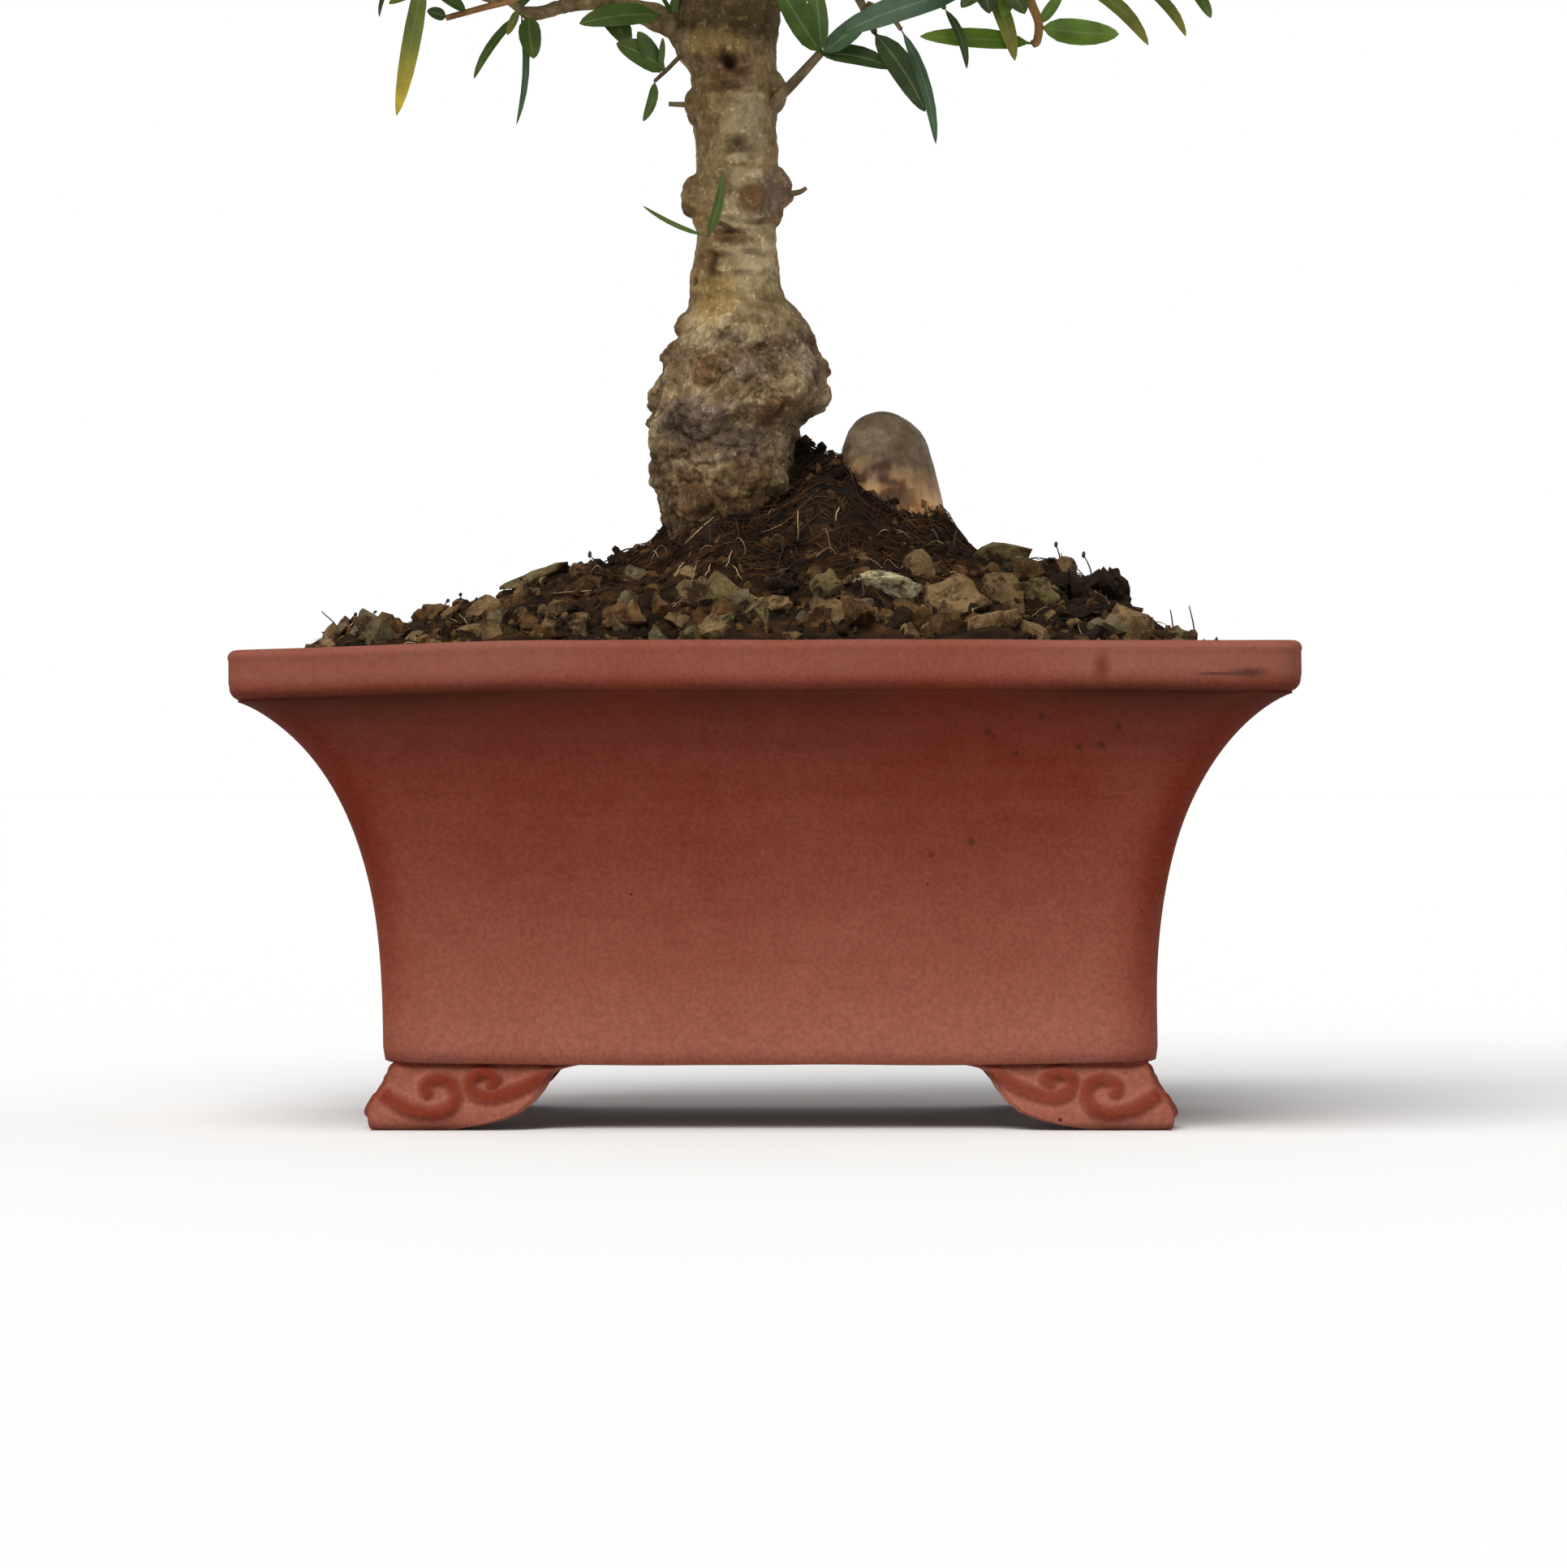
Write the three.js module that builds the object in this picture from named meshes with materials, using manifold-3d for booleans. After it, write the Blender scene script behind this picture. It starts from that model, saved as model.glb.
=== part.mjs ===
// Phillyrea bonsai: an unglazed clay pot on four scroll feet, the soil in it, the trunk with a root knee
// beside it, the boughs, and the masses of foliage that they carry.
// Millimetres, +Z up, the front towards -Y. The origin is on the ground under the middle of the pot.
import * as THREE from "three";
import { mergeVertices } from "three/addons/utils/BufferGeometryUtils.js";
import Module from "manifold-3d";

const wasm = await Module();
wasm.setup();
const { degToRad, inverseLerp, lerp, seededRandom } = THREE.MathUtils;

// Driving dimensions

const gap = 0.3; // left between solids that meet
const weld = 0.001; // points this close are one point
const weldPasses = 3;
const sliver = 0.02; // detail this small is smoothed away
const up = new THREE.Vector3(0, 0, 1);

const pot = {
  length: 200, // over the rim
  depth: 150,
  height: 92,
  rimHeight: 9.5,
  rimWidth: 12,
  rimBevel: 0.8,
  footHeight: 12.6,
  flare: 26.6, // how far the rim stands out past the foot of the wall
  wall: 8,
  floor: 9,
  corner: 7,
  cornerSteps: 4, // points on each round corner
  outsideSteps: 10,
  insideSteps: 6,
};

const foot = {
  length: 34, // along the pot from its corner
  flat: 17, // length that stands on the ground
  neck: 1.5, // how far the top is set in from the pot's corner
  toe: 2.7, // how far the foot of it stands out again
  toeRound: 1.6,
  thick: 9,
  curveSteps: 4,
};

const soil = {
  edge: 91.2, // height along the rim
  rise: 16, // from the rim to the middle
  fall: 2.2, // power of that slope
  rough: 0.9, // crumbs, up and down
  columns: 27,
  rows: 20,
  seed: 5,
  // clods: waves that cross, each with its direction, the distance between its crests, and its height
  clods: [
    { direction: 14, apart: 23, height: 1.3 },
    { direction: 77, apart: 19, height: 1.2 },
    { direction: 131, apart: 26, height: 1.3 },
  ],
  // heaps and hollows on that slope: middle x and y, height, half width along x and y
  heaps: [
    { x: 9, y: 7, height: 24.6, wide: 29, deep: 33 },
    { x: 62, y: -4, height: 4.5, wide: 13, deep: 18 },
    { x: -22, y: -7, height: -6, wide: 11, deep: 13 },
    { x: 4, y: -11, height: -4.5, wide: 8, deep: 9 },
    { x: -68, y: 0, height: -3.2, wide: 22, deep: 70 },
    { x: 84, y: 0, height: -4, wide: 12, deep: 70 },
  ],
};

const trunk = {
  sides: 13,
  ringsPerStation: 2,
  swellTop: 157, // the knobbly swelling ends at this height
  swellLumps: 0.08, // lumps as a share of the radius
  barkLumps: 0.025,
  // from the cut at the ground to the fork: height, middle to the right of the pot's middle, radius
  stations: [
    [112, -7.5, 10.8],
    [119, -8.2, 12.4],
    [127, -9, 13.8],
    [133, -8.4, 14.8],
    [140, -5.6, 17],
    [147, -4.5, 16.4],
    [153, -4.3, 14],
    [158.5, -4.8, 11],
    [163, -5.8, 8.9],
    [174, -5.7, 8],
    [188, -5.7, 8.1],
    [200, -6.4, 9],
    [210, -7.6, 10.1],
    [219, -8, 10.6],
    [235, -7, 9.4],
    [262, -4, 7.4],
  ],
  // healed knots: height, direction round the trunk, half width, half height, how far each stands out
  knots: [
    { height: 180.4, around: 180, wide: 4, tall: 4.5, out: 3 },
    { height: 180.8, around: 0, wide: 4, tall: 5, out: 3 },
    { height: 179.6, around: 292, wide: 3.2, tall: 3.6, out: 1.3 },
    { height: 198.6, around: 184, wide: 3.2, tall: 4, out: 1.6 },
    { height: 207.4, around: 270, wide: 3.4, tall: 3.4, out: 1.1 },
    { height: 172.6, around: 272, wide: 5, tall: 2.6, out: 1.3 },
    { height: 201.5, around: 2, wide: 3, tall: 4, out: 1.4 },
  ],
};

const knee = { x: 25, y: 1, foot: 112, height: 26.4, radius: 10.4, lean: -7, dome: 0.68, sides: 12, steps: 7 };

// Boughs: height where each leaves the trunk, radius there, then the middle and half sizes of its mass of
// foliage. Each bough runs towards that middle, lowered by "droop", over a bend raised by "arch".
const boughTaper = 0.5; // radius at the tip, as a share of the radius at the trunk
const boughs = [
  { name: "left", at: 213, radius: 3, middle: [-76, -4, 241], half: [46, 42, 41], droop: 11, arch: 1 },
  { name: "right", at: 222, radius: 4.6, middle: [76, -8, 246], half: [46, 42, 41], droop: 9, arch: -2 },
  { name: "front_left", at: 230, radius: 4.2, middle: [-41, -63, 262], half: [42, 42, 35], droop: 4, arch: 3 },
  { name: "front_right", at: 228, radius: 4, middle: [38, -64, 266], half: [42, 41, 35], droop: 4, arch: 3 },
  { name: "back_right", at: 226, radius: 4.4, middle: [42, 63, 252], half: [44, 42, 38], droop: 4, arch: 3 },
  { name: "back_left", at: 234, radius: 4.2, middle: [-44, 63, 256], half: [44, 42, 38], droop: 4, arch: 3 },
  { name: "high_left", at: 244, radius: 4, middle: [-52, 8, 313], half: [42, 40, 37], droop: 2, arch: -5 },
  { name: "high_front", at: 243, radius: 3.8, middle: [4, -44, 324], half: [42, 38, 36], droop: 2, arch: -8 },
  { name: "high_right", at: 241, radius: 4, middle: [53, 4, 318], half: [42, 40, 37], droop: 2, arch: -5 },
  { name: "high_back", at: 245, radius: 3.8, middle: [-2, 46, 318], half: [42, 40, 36], droop: 2, arch: -8 },
  { name: "top", at: 262, radius: 7, middle: [-2, 2, 360], half: [42, 38, 32], droop: 0, arch: 0 },
];
const boughSides = 6;
const boughSteps = 6;

// Small shoots straight from the trunk: height and direction of each, its rise in degrees, its space.
const trunkShoots = [
  {
    name: "shoot_right",
    at: 201.5,
    around: 330,
    rise: 30,
    middle: [17, -20, 204],
    half: [27, 30, 22],
    leafScale: 0.6,
  },
  {
    name: "shoot_left",
    at: 206,
    around: 205,
    rise: -10,
    middle: [-26, -10, 202],
    half: [22, 24, 20],
    leafScale: 0.4,
  },
  {
    name: "shoot_front",
    at: 173,
    around: 250,
    rise: 25,
    middle: [-12, -20, 178],
    half: [26, 22, 22],
    leafScale: 0.55,
  },
];

// Kinds of shoot: nodes, the step between them, radius at root and tip, how far it turns to its mass's far side.
const trunkShoot = { nodes: 2, step: 9, root: 1.3, tip: 1.15, pull: 0 };
const sideTwig = { nodes: 4, step: 7.5, root: 1.4, tip: 1.15, pull: 0, leafScale: 1 };
const massStem = { nodes: 6, step: 10.5, root: 2, tip: 1.4, pull: 0.35, leafScale: 1, side: sideTwig };
const growth = {
  seed: 11,
  wander: 0.26, // how far a heading strays at each node
  light: 0.16, // how far it turns upwards
  forkAngle: 62, // between a stem and its side twigs
  leafAngle: 52, // between a twig and its leaves
  entry: 0.82, // how far out in its space a mass's stem starts
  twigReach: 0.74, // twigs end this far out in their space, which leaves room for the leaves
  apart: 0.04, // clearance between masses, as a share of their half size
  clear: 1.6, // clearance of leaves to limbs
};
const leaf = { length: 30, width: 9, root: 0.52, belly: 0.45, droop: 2.6, spread: 0.15 };

const colours = {
  clay: 0x85493b,
  soil: 0x3a2a1b,
  bark: 0x77664a,
  smoothBark: 0x75614a,
  leaf: 0x45562c,
};

// Solids and meshes

function welded(geometry) {
  const bare = new THREE.BufferGeometry();
  bare.setAttribute("position", geometry.getAttribute("position"));
  bare.setIndex(geometry.index);
  return mergeVertices(bare, weld);
}

function solidOf(geometry) {
  const { attributes, index } = welded(geometry);
  const vertProperties = attributes.position.array;
  const triVerts = new Uint32Array(index.array);
  return new wasm.Manifold(new wasm.Mesh({ numProp: 3, vertProperties, triVerts }));
}

const largest = (bodies) => bodies.reduce((best, body) => (body.volume() > best.volume() ? body : best));

// The largest body of a solid, without slivers, loose scraps or hollows sealed by welding.
function wholeBody(solid) {
  let body = largest(solid.simplify(sliver).decompose());
  for (let pass = 0; pass < weldPasses; pass++) {
    body = largest(solidOf(geometryOf(body)).decompose());
  }
  return body;
}

function geometryOf(solid) {
  const { vertProperties, triVerts } = solid.getMesh();
  const geometry = new THREE.BufferGeometry();
  geometry.setAttribute("position", new THREE.BufferAttribute(vertProperties, 3));
  geometry.setIndex(new THREE.BufferAttribute(triVerts, 1));
  geometry.computeVertexNormals();
  return geometry;
}

// Whether a solid touches itself along an edge, so that more than two of its faces meet there.
function pinched(solid) {
  const corners = welded(geometryOf(solid)).index.array;
  const uses = new Map();
  corners.forEach((corner, i) => {
    const next = corners[i % 3 === 2 ? i - 2 : i + 1];
    const edge = Math.min(corner, next) + "-" + Math.max(corner, next);
    uses.set(edge, (uses.get(edge) ?? 0) + 1);
  });
  return [...uses.values()].some((count) => count !== 2);
}

function finish(color, roughness) {
  return new THREE.MeshStandardMaterial({ color, roughness, metalness: 0 });
}

const finishes = {
  clay: finish(colours.clay, 0.75),
  soil: finish(colours.soil, 0.95),
  bark: finish(colours.bark, 0.85),
  smoothBark: finish(colours.smoothBark, 0.7),
  foliage: finish(colours.leaf, 0.5),
};

function piece(name, geometry, material) {
  const mesh = new THREE.Mesh(geometry, material);
  mesh.name = name;
  return mesh;
}

// Moves every vertex of a geometry to where place(x, y, z, index) says.
function reshape(geometry, place) {
  const spots = geometry.attributes.position;
  for (let i = 0; i < spots.count; i++) {
    spots.setXYZ(i, ...place(spots.getX(i), spots.getY(i), spots.getZ(i), i));
  }
  return geometry;
}

function evenSteps(from, to, count) {
  return Array.from({ length: count + 1 }, (_, i) => lerp(from, to, i / count));
}

// Pot

const potFloor = pot.footHeight + pot.floor;
const rimFoot = pot.height - pot.rimHeight;
const wallFoot = pot.length / 2 - pot.flare;
const insideTop = pot.length / 2 - pot.rimWidth;

// Half the pot's length outside at a height: nearly upright at its foot, then a hollow curve out to the rim.
function outsideHalf(height) {
  const share = inverseLerp(pot.footHeight, rimFoot, height);
  return wallFoot + pot.flare * (1 - (1 - share ** 3) ** 0.7);
}

function insideHalf(height) {
  const share = inverseLerp(potFloor, pot.height, height);
  return lerp(wallFoot - pot.wall, insideTop, share ** 2.2);
}

// A point of the pot's plan, a rectangle with round corners, given half its length at that level.
function planPoint(column, halfLength) {
  if (halfLength === 0) return [0, 0];
  const quarter = Math.floor(column / pot.cornerSteps);
  const angle = (quarter + (column % pot.cornerSteps) / (pot.cornerSteps - 1)) * (Math.PI / 2);
  const halfDepth = halfLength - (pot.length - pot.depth) / 2;
  const right = quarter < 2 ? 1 : -1;
  const back = quarter === 1 || quarter === 2 ? 1 : -1;
  return [
    right * (halfLength - pot.corner) + pot.corner * Math.sin(angle),
    back * (halfDepth - pot.corner) - pot.corner * Math.cos(angle),
  ];
}

// Turns a profile of (half length, height) round that plan.
function turnedRoundPlan(profile) {
  const columns = 4 * pot.cornerSteps;
  return reshape(new THREE.LatheGeometry(profile, columns), (x, y, z, i) => {
    const { x: halfLength, y: height } = profile[i % profile.length];
    return [...planPoint(Math.floor(i / profile.length) % columns, halfLength), height];
  });
}

function potGeometry() {
  const rim = pot.length / 2;
  const closer = evenSteps(0, 1, pot.outsideSteps).map((share) => 1 - (1 - share) ** 1.8);
  const outside = closer.map((share) => lerp(pot.footHeight, rimFoot, share));
  const inside = evenSteps(pot.height, potFloor, pot.insideSteps);
  const profile = [
    [0, pot.footHeight],
    ...outside.map((height) => [outsideHalf(height), height]),
    [rim, pot.height - pot.rimBevel],
    [rim - pot.rimBevel, pot.height],
    ...inside.map((height) => [insideHalf(height), height]),
    [0, potFloor],
  ];
  return turnedRoundPlan(profile.map(([half, height]) => new THREE.Vector2(half, height)));
}

// One leg of a corner foot, seen from outside: a toe at the corner, a flat sole, a long curve up to the pot.
function footLeg(way) {
  const { length, flat, neck, toe, toeRound, thick, curveSteps } = foot;
  const top = pot.footHeight;
  const outline = new THREE.Shape();
  outline.moveTo(way * neck, top);
  outline.quadraticCurveTo(way * neck, top / 2, -way * toe, toeRound);
  outline.quadraticCurveTo(-way * toe, 0, way * (toeRound - toe), 0);
  outline.lineTo(way * flat, 0);
  outline.bezierCurveTo(way * (flat + 6), 0, way * (length - 4), top * 0.35, way * length, top);
  const extrusion = { depth: thick, bevelEnabled: false, curveSegments: curveSteps };
  const leg = new THREE.ExtrudeGeometry(outline, extrusion);
  const flared = reshape(leg, (x, y, z) => [x, y, z > 0 ? z - neck + (toe + neck) * (1 - y / top) : 0]);
  return flared.rotateX(Math.PI / 2).translate(-way * thick, 0, 0);
}

// The foot under the front left corner, its outer corner towards -X and -Y of its own origin.
function footGeometry() {
  const front = solidOf(footLeg(1));
  const side = solidOf(footLeg(-1).rotateZ(-Math.PI / 2));
  return geometryOf(wholeBody(front.add(side)));
}

function feet() {
  const geometry = footGeometry();
  const x = wallFoot - foot.thick;
  const y = x - (pot.length - pot.depth) / 2;
  const corners = { front_left: [1, 1], front_right: [-1, 1], back_left: [1, -1], back_right: [-1, -1] };
  return Object.entries(corners).map(([corner, [left, front]]) => {
    const mesh = piece("foot_" + corner, geometry, finishes.clay);
    mesh.position.set(-left * x, -front * y, 0);
    mesh.scale.set(left, front, 1);
    return mesh;
  });
}

// Trunk and root knee

const trunkStations = trunk.stations.map(([height, x, radius]) => new THREE.Vector3(x, radius, height));
const trunkRings = new THREE.CatmullRomCurve3(trunkStations)
  .getPoints((trunkStations.length - 1) * trunk.ringsPerStation)
  .map(({ x, y: radius, z: height }) => ({ x, radius, height }));
const trunkTop = trunkRings.at(-1).height;

// The trunk's middle and radius at a height.
function trunkAt(height) {
  const below = trunkRings.findLastIndex((ring) => ring.height <= height);
  const first = Math.min(Math.max(below, 0), trunkRings.length - 2);
  const [low, high] = trunkRings.slice(first, first + 2);
  const share = inverseLerp(low.height, high.height, height);
  return { x: lerp(low.x, high.x, share), radius: lerp(low.radius, high.radius, share) };
}

function lumpy(radius, angle, height) {
  const lumps = height < trunk.swellTop ? trunk.swellLumps : trunk.barkLumps;
  return radius * (1 + (lumps / 2) * (Math.sin(3 * angle + height / 6) + Math.sin(5 * angle - height / 4)));
}

// The trunk, or with "extra" the room that it takes with that much clearance all round.
function trunkSolid(extra = 0) {
  const steps = trunkRings.length - 1;
  const stem = new THREE.CylinderGeometry(1, 1, 1, trunk.sides, steps).rotateX(Math.PI / 2);
  reshape(stem, (x, y, z) => {
    const step = Math.round((z + 0.5) * steps);
    const { x: middle, radius, height } = trunkRings[step];
    const reach = Math.hypot(x, y) * (lumpy(radius, Math.atan2(y, x), height) + extra);
    const end = step === 0 ? -extra : step === steps ? extra : 0;
    const angle = Math.atan2(y, x);
    return [middle + reach * Math.cos(angle), reach * Math.sin(angle), height + end];
  });
  const knots = trunk.knots.map(({ height, around, wide, tall, out }) => {
    const { x, radius } = trunkAt(height);
    const deep = out + wide / 2;
    const knot = new THREE.IcosahedronGeometry(1, 1).scale(deep + extra, wide + extra, tall + extra);
    knot.translate(radius - deep + out, 0, 0);
    knot.rotateZ(degToRad(around));
    return solidOf(knot.translate(x, 0, height));
  });
  return wasm.Manifold.union([solidOf(stem), ...knots]);
}

function kneeSolid(extra = 0) {
  const reach = knee.radius + extra;
  const dome = evenSteps(0, Math.PI / 2, knee.steps).map((angle) => {
    return new THREE.Vector2(reach * Math.cos(angle) ** knee.dome, (knee.height + extra) * Math.sin(angle));
  });
  dome[knee.steps].x = 0;
  const sole = [new THREE.Vector2(0, -extra), new THREE.Vector2(reach, -extra)];
  const root = new THREE.LatheGeometry([...sole, ...dome.slice(1)], knee.sides);
  const lean = Math.tan(degToRad(knee.lean));
  root.rotateX(Math.PI / 2);
  return solidOf(reshape(root, (x, y, z) => [knee.x + x + lean * z, knee.y + y, knee.foot + z]));
}

// Soil

function clodHeight(x, y) {
  return soil.clods.reduce((total, { direction, apart, height }) => {
    const along = x * Math.cos(degToRad(direction)) + y * Math.sin(degToRad(direction));
    return total + height * Math.sin((2 * Math.PI * along) / apart);
  }, 0);
}

function soilHeight(x, y) {
  const across = 1 - Math.abs(x / insideTop) ** soil.fall;
  const along = 1 - Math.abs(y / (insideTop - (pot.length - pot.depth) / 2)) ** soil.fall;
  const slope = soil.edge + soil.rise * Math.max(0, across) * Math.max(0, along);
  return soil.heaps.reduce((height, heap) => {
    const away = ((x - heap.x) / heap.wide) ** 2 + ((y - heap.y) / heap.deep) ** 2;
    return height + heap.height * Math.exp(-away);
  }, slope + clodHeight(x, y));
}

// The heap fills the pot up to its inner wall, with sockets for the trunk and the knee.
function soilSolid() {
  const aboveAll = trunkTop;
  const levels = evenSteps(pot.height, potFloor + gap, pot.insideSteps);
  const walls = levels.map((height) => [insideHalf(height) - gap, height]);
  const inside = [[0, aboveAll], [insideTop - gap, aboveAll], ...walls, [0, potFloor + gap]];
  const hollow = turnedRoundPlan(inside.map(([half, height]) => new THREE.Vector2(half, height)).reverse());
  seededRandom(soil.seed);
  const heap = new THREE.BoxGeometry(pot.length, pot.depth, 2, soil.columns, soil.rows, 1);
  const lumps = new Map();
  reshape(heap, (x, y, z) => {
    if (z < 0) return [x, y, 0];
    const spot = x.toFixed(1) + "," + y.toFixed(1);
    if (!lumps.has(spot)) lumps.set(spot, soil.rough * (2 * seededRandom() - 1));
    return [x, y, soilHeight(x, y) + lumps.get(spot)];
  });
  const filled = solidOf(hollow).intersect(solidOf(heap));
  return filled.subtract(trunkSolid(gap)).subtract(kneeSolid(gap));
}

// Boughs, twigs and leaves

const point = (place) => new THREE.Vector3(...place);
const stray = (amount) => point([0, 1, 2].map(() => amount * (2 * seededRandom() - 1)));

// A round tapering limb along a curve: a unit cylinder whose rings are carried to points of the curve.
function limbGeometry(curve, root, tip, sides, steps) {
  const places = curve.getPoints(steps);
  const { normals, binormals } = curve.computeFrenetFrames(steps);
  return reshape(new THREE.CylinderGeometry(1, 1, 1, sides, steps), (x, y, z) => {
    const step = Math.round((y + 0.5) * steps);
    const radius = lerp(root, tip, step / steps);
    const spot = places[step].clone();
    return spot.addScaledVector(normals[step], x * radius).addScaledVector(binormals[step], -z * radius);
  });
}

const spaces = [...boughs, ...trunkShoots].map(({ name, middle, half }) => {
  return { name, middle: point(middle), half: point(half) };
});
const spaceOf = (name) => spaces.find((space) => space.name === name);

// How far out a point is in a mass's space: 0 at its middle, 1 at its edge.
const reachIn = (space, spot) => spot.clone().sub(space.middle).divide(space.half).length();

// A bough ends where it is well inside its mass's space.
function boughCurve({ name, at, droop, arch }) {
  const own = spaceOf(name);
  const start = new THREE.Vector3(trunkAt(at).x, 0, at < trunkTop ? at : trunkTop + gap);
  const towards = (share) => start.clone().lerp(own.middle, share).addScaledVector(up, -droop);
  const tip = evenSteps(0, 1, 100).map(towards).find((spot) => reachIn(own, spot) < growth.entry);
  const bend = start.clone().lerp(tip, 0.55).addScaledVector(up, arch);
  return new THREE.QuadraticBezierCurve3(start, bend, tip);
}

const limbs = boughs.map((bough) => {
  return { ...bough, tipRadius: boughTaper * bough.radius, curve: boughCurve(bough) };
});

function clearOfLimbs(spot, clear) {
  if (spot.z < trunkTop + clear) {
    const { x, radius } = trunkAt(Math.min(spot.z, trunkTop));
    if (Math.hypot(spot.x - x, spot.y) < radius * 1.1 + clear) return false;
  }
  return limbs.every(({ curve, radius, tipRadius }) => {
    const places = curve.getPoints(12);
    return places.every((place, i) => place.distanceTo(spot) > lerp(radius, tipRadius, i / 12) + clear);
  });
}

// Whether a spot lies in a mass's own space, apart from the other masses and clear of the limbs.
function fits(spot, own, thick) {
  const reach = reachIn(own, spot);
  if (reach > 1) return false;
  const apart = growth.apart + (2 * thick) / own.half.x;
  if (spaces.some((other) => other !== own && reachIn(other, spot) < reach + apart)) return false;
  return clearOfLimbs(spot, growth.clear + thick);
}

// A leaf of eight faces on a three-sided stalk, or null where it would not fit.
function leafSolid(root, heading, own, scale) {
  const side = new THREE.Vector3().crossVectors(up, heading).normalize();
  const back = new THREE.Vector3().crossVectors(heading, side);
  const size = scale * (1 + leaf.spread * (2 * seededRandom() - 1));
  const spot = (along, across, raised) => {
    const place = root.clone().addScaledVector(heading, along);
    return place.addScaledVector(side, across).addScaledVector(back, raised);
  };
  const { length, width, belly, droop } = leaf;
  const edges = [-1, 1].map((way) => spot(length * size * belly, (way * width * size) / 2, -droop * belly));
  const tip = spot(length * size, 0, -droop);
  const spine = [0.25, 0.75].map((share) => spot(length * size * share, 0, -droop * (share - 0.25)));
  if (![...edges, tip, ...spine].every((place) => fits(place, own, 0))) return null;
  const stalk = [90, 210, 330].map((angle) => {
    return spot(0, leaf.root * Math.cos(degToRad(angle)), leaf.root * Math.sin(degToRad(angle)));
  });
  const faces = [0, 2, 1, 0, 1, 3, 0, 4, 2, 0, 3, 5, 0, 5, 4, 1, 5, 3, 1, 2, 5, 2, 4, 5];
  const geometry = new THREE.BufferGeometry().setFromPoints([...stalk, ...edges, tip]);
  return solidOf(geometry.setIndex(faces));
}

// One shoot: a straight first step, then nodes a step apart on a heading that wanders and turns to the light.
// Each node has an opposite pair, a quarter turn round from the last. It stops where it would leave its space.
function growShoot(plant, own, start, heading, across, { nodes, step, root, tip, pull, leafScale, side }) {
  const far = own.middle.clone().multiplyScalar(2).sub(start);
  const line = [start];
  const pairs = [];
  for (let n = 0; n < nodes; n++) {
    const last = line.at(-1);
    if (n > 0) {
      heading = heading.clone().add(stray(growth.wander)).addScaledVector(up, growth.light);
      heading.addScaledVector(far.clone().sub(last).normalize(), pull).normalize();
    }
    const next = last.clone().addScaledVector(heading, step);
    const leaving = reachIn(own, next) > Math.max(growth.twigReach, reachIn(own, last));
    if (leaving || !fits(next, own, root)) break;
    line.push(next);
    across = new THREE.Vector3().crossVectors(heading, across).normalize();
    pairs.push({ place: next, heading, across });
  }
  if (line.length < 2) return;
  plant.twigs.push(solidOf(limbGeometry(new THREE.CatmullRomCurve3(line), root, tip, 3, line.length - 1)));
  pairs.forEach((pair, n) => {
    for (const hand of [1, -1]) {
      const turned = (angle) => {
        const ahead = pair.heading.clone().multiplyScalar(Math.cos(degToRad(angle)));
        return ahead.addScaledVector(pair.across, hand * Math.sin(degToRad(angle)));
      };
      if (side && n < pairs.length - 1) {
        growShoot(plant, own, pair.place, turned(growth.forkAngle), pair.heading, side);
      } else {
        const way = turned(growth.leafAngle).add(stray(growth.wander)).normalize();
        const blade = leafSolid(pair.place, way, own, leafScale);
        if (blade) plant.leaves.push(blade);
      }
    }
  });
}

const trunkRoom = trunkSolid(gap);

function boughGeometry({ curve, radius, tipRadius }) {
  const limb = solidOf(limbGeometry(curve, radius, tipRadius, boughSides, boughSteps));
  return geometryOf(wholeBody(limb.subtract(trunkRoom)));
}

// Foliage of one stem that starts with a heading, cut clear of the trunk, without leaves that would pinch it.
function foliageGeometry(name, start, heading, stem) {
  const across = new THREE.Vector3().crossVectors(heading, up).normalize();
  const plant = { twigs: [], leaves: [] };
  growShoot(plant, spaceOf(name), start, heading, across, stem);
  const bare = wholeBody(wasm.Manifold.union(plant.twigs).subtract(trunkRoom));
  return geometryOf(
    plant.leaves.reduce((body, blade) => {
      const grown = wholeBody(body.add(blade));
      return pinched(grown) ? body : grown;
    }, bare),
  );
}

// The mass of foliage on a bough: its stem goes on from the bough's tip.
function massGeometry({ name, curve, tipRadius }) {
  const heading = curve.getTangent(1);
  const root = Math.min(massStem.root, 0.95 * tipRadius);
  return foliageGeometry(name, curve.getPoint(1).addScaledVector(heading, gap), heading, { ...massStem, root });
}

function trunkShootGeometry({ name, at, around, rise, leafScale }) {
  const { x, radius } = trunkAt(at);
  const out = new THREE.Vector3(Math.cos(degToRad(around)), Math.sin(degToRad(around)), 0);
  const start = new THREE.Vector3(x, 0, at).addScaledVector(out, radius - 1);
  const heading = out.addScaledVector(up, Math.tan(degToRad(rise))).normalize();
  return foliageGeometry(name, start, heading, { ...trunkShoot, leafScale });
}

// Assembly

const bonsai = new THREE.Group();
bonsai.name = "phillyrea_bonsai";
bonsai.add(piece("pot", potGeometry(), finishes.clay));
bonsai.add(...feet());
bonsai.add(piece("soil", geometryOf(wholeBody(soilSolid())), finishes.soil));
bonsai.add(piece("trunk", geometryOf(wholeBody(trunkSolid())), finishes.bark));
bonsai.add(piece("root_knee", geometryOf(kneeSolid()), finishes.smoothBark));
for (const limb of limbs) {
  bonsai.add(piece("bough_" + limb.name, boughGeometry(limb), finishes.bark));
}
seededRandom(growth.seed);
for (const limb of limbs) {
  bonsai.add(piece("foliage_" + limb.name, massGeometry(limb), finishes.foliage));
}
for (const shoot of trunkShoots) {
  bonsai.add(piece(shoot.name, trunkShootGeometry(shoot), finishes.foliage));
}

export default bonsai;
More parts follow.
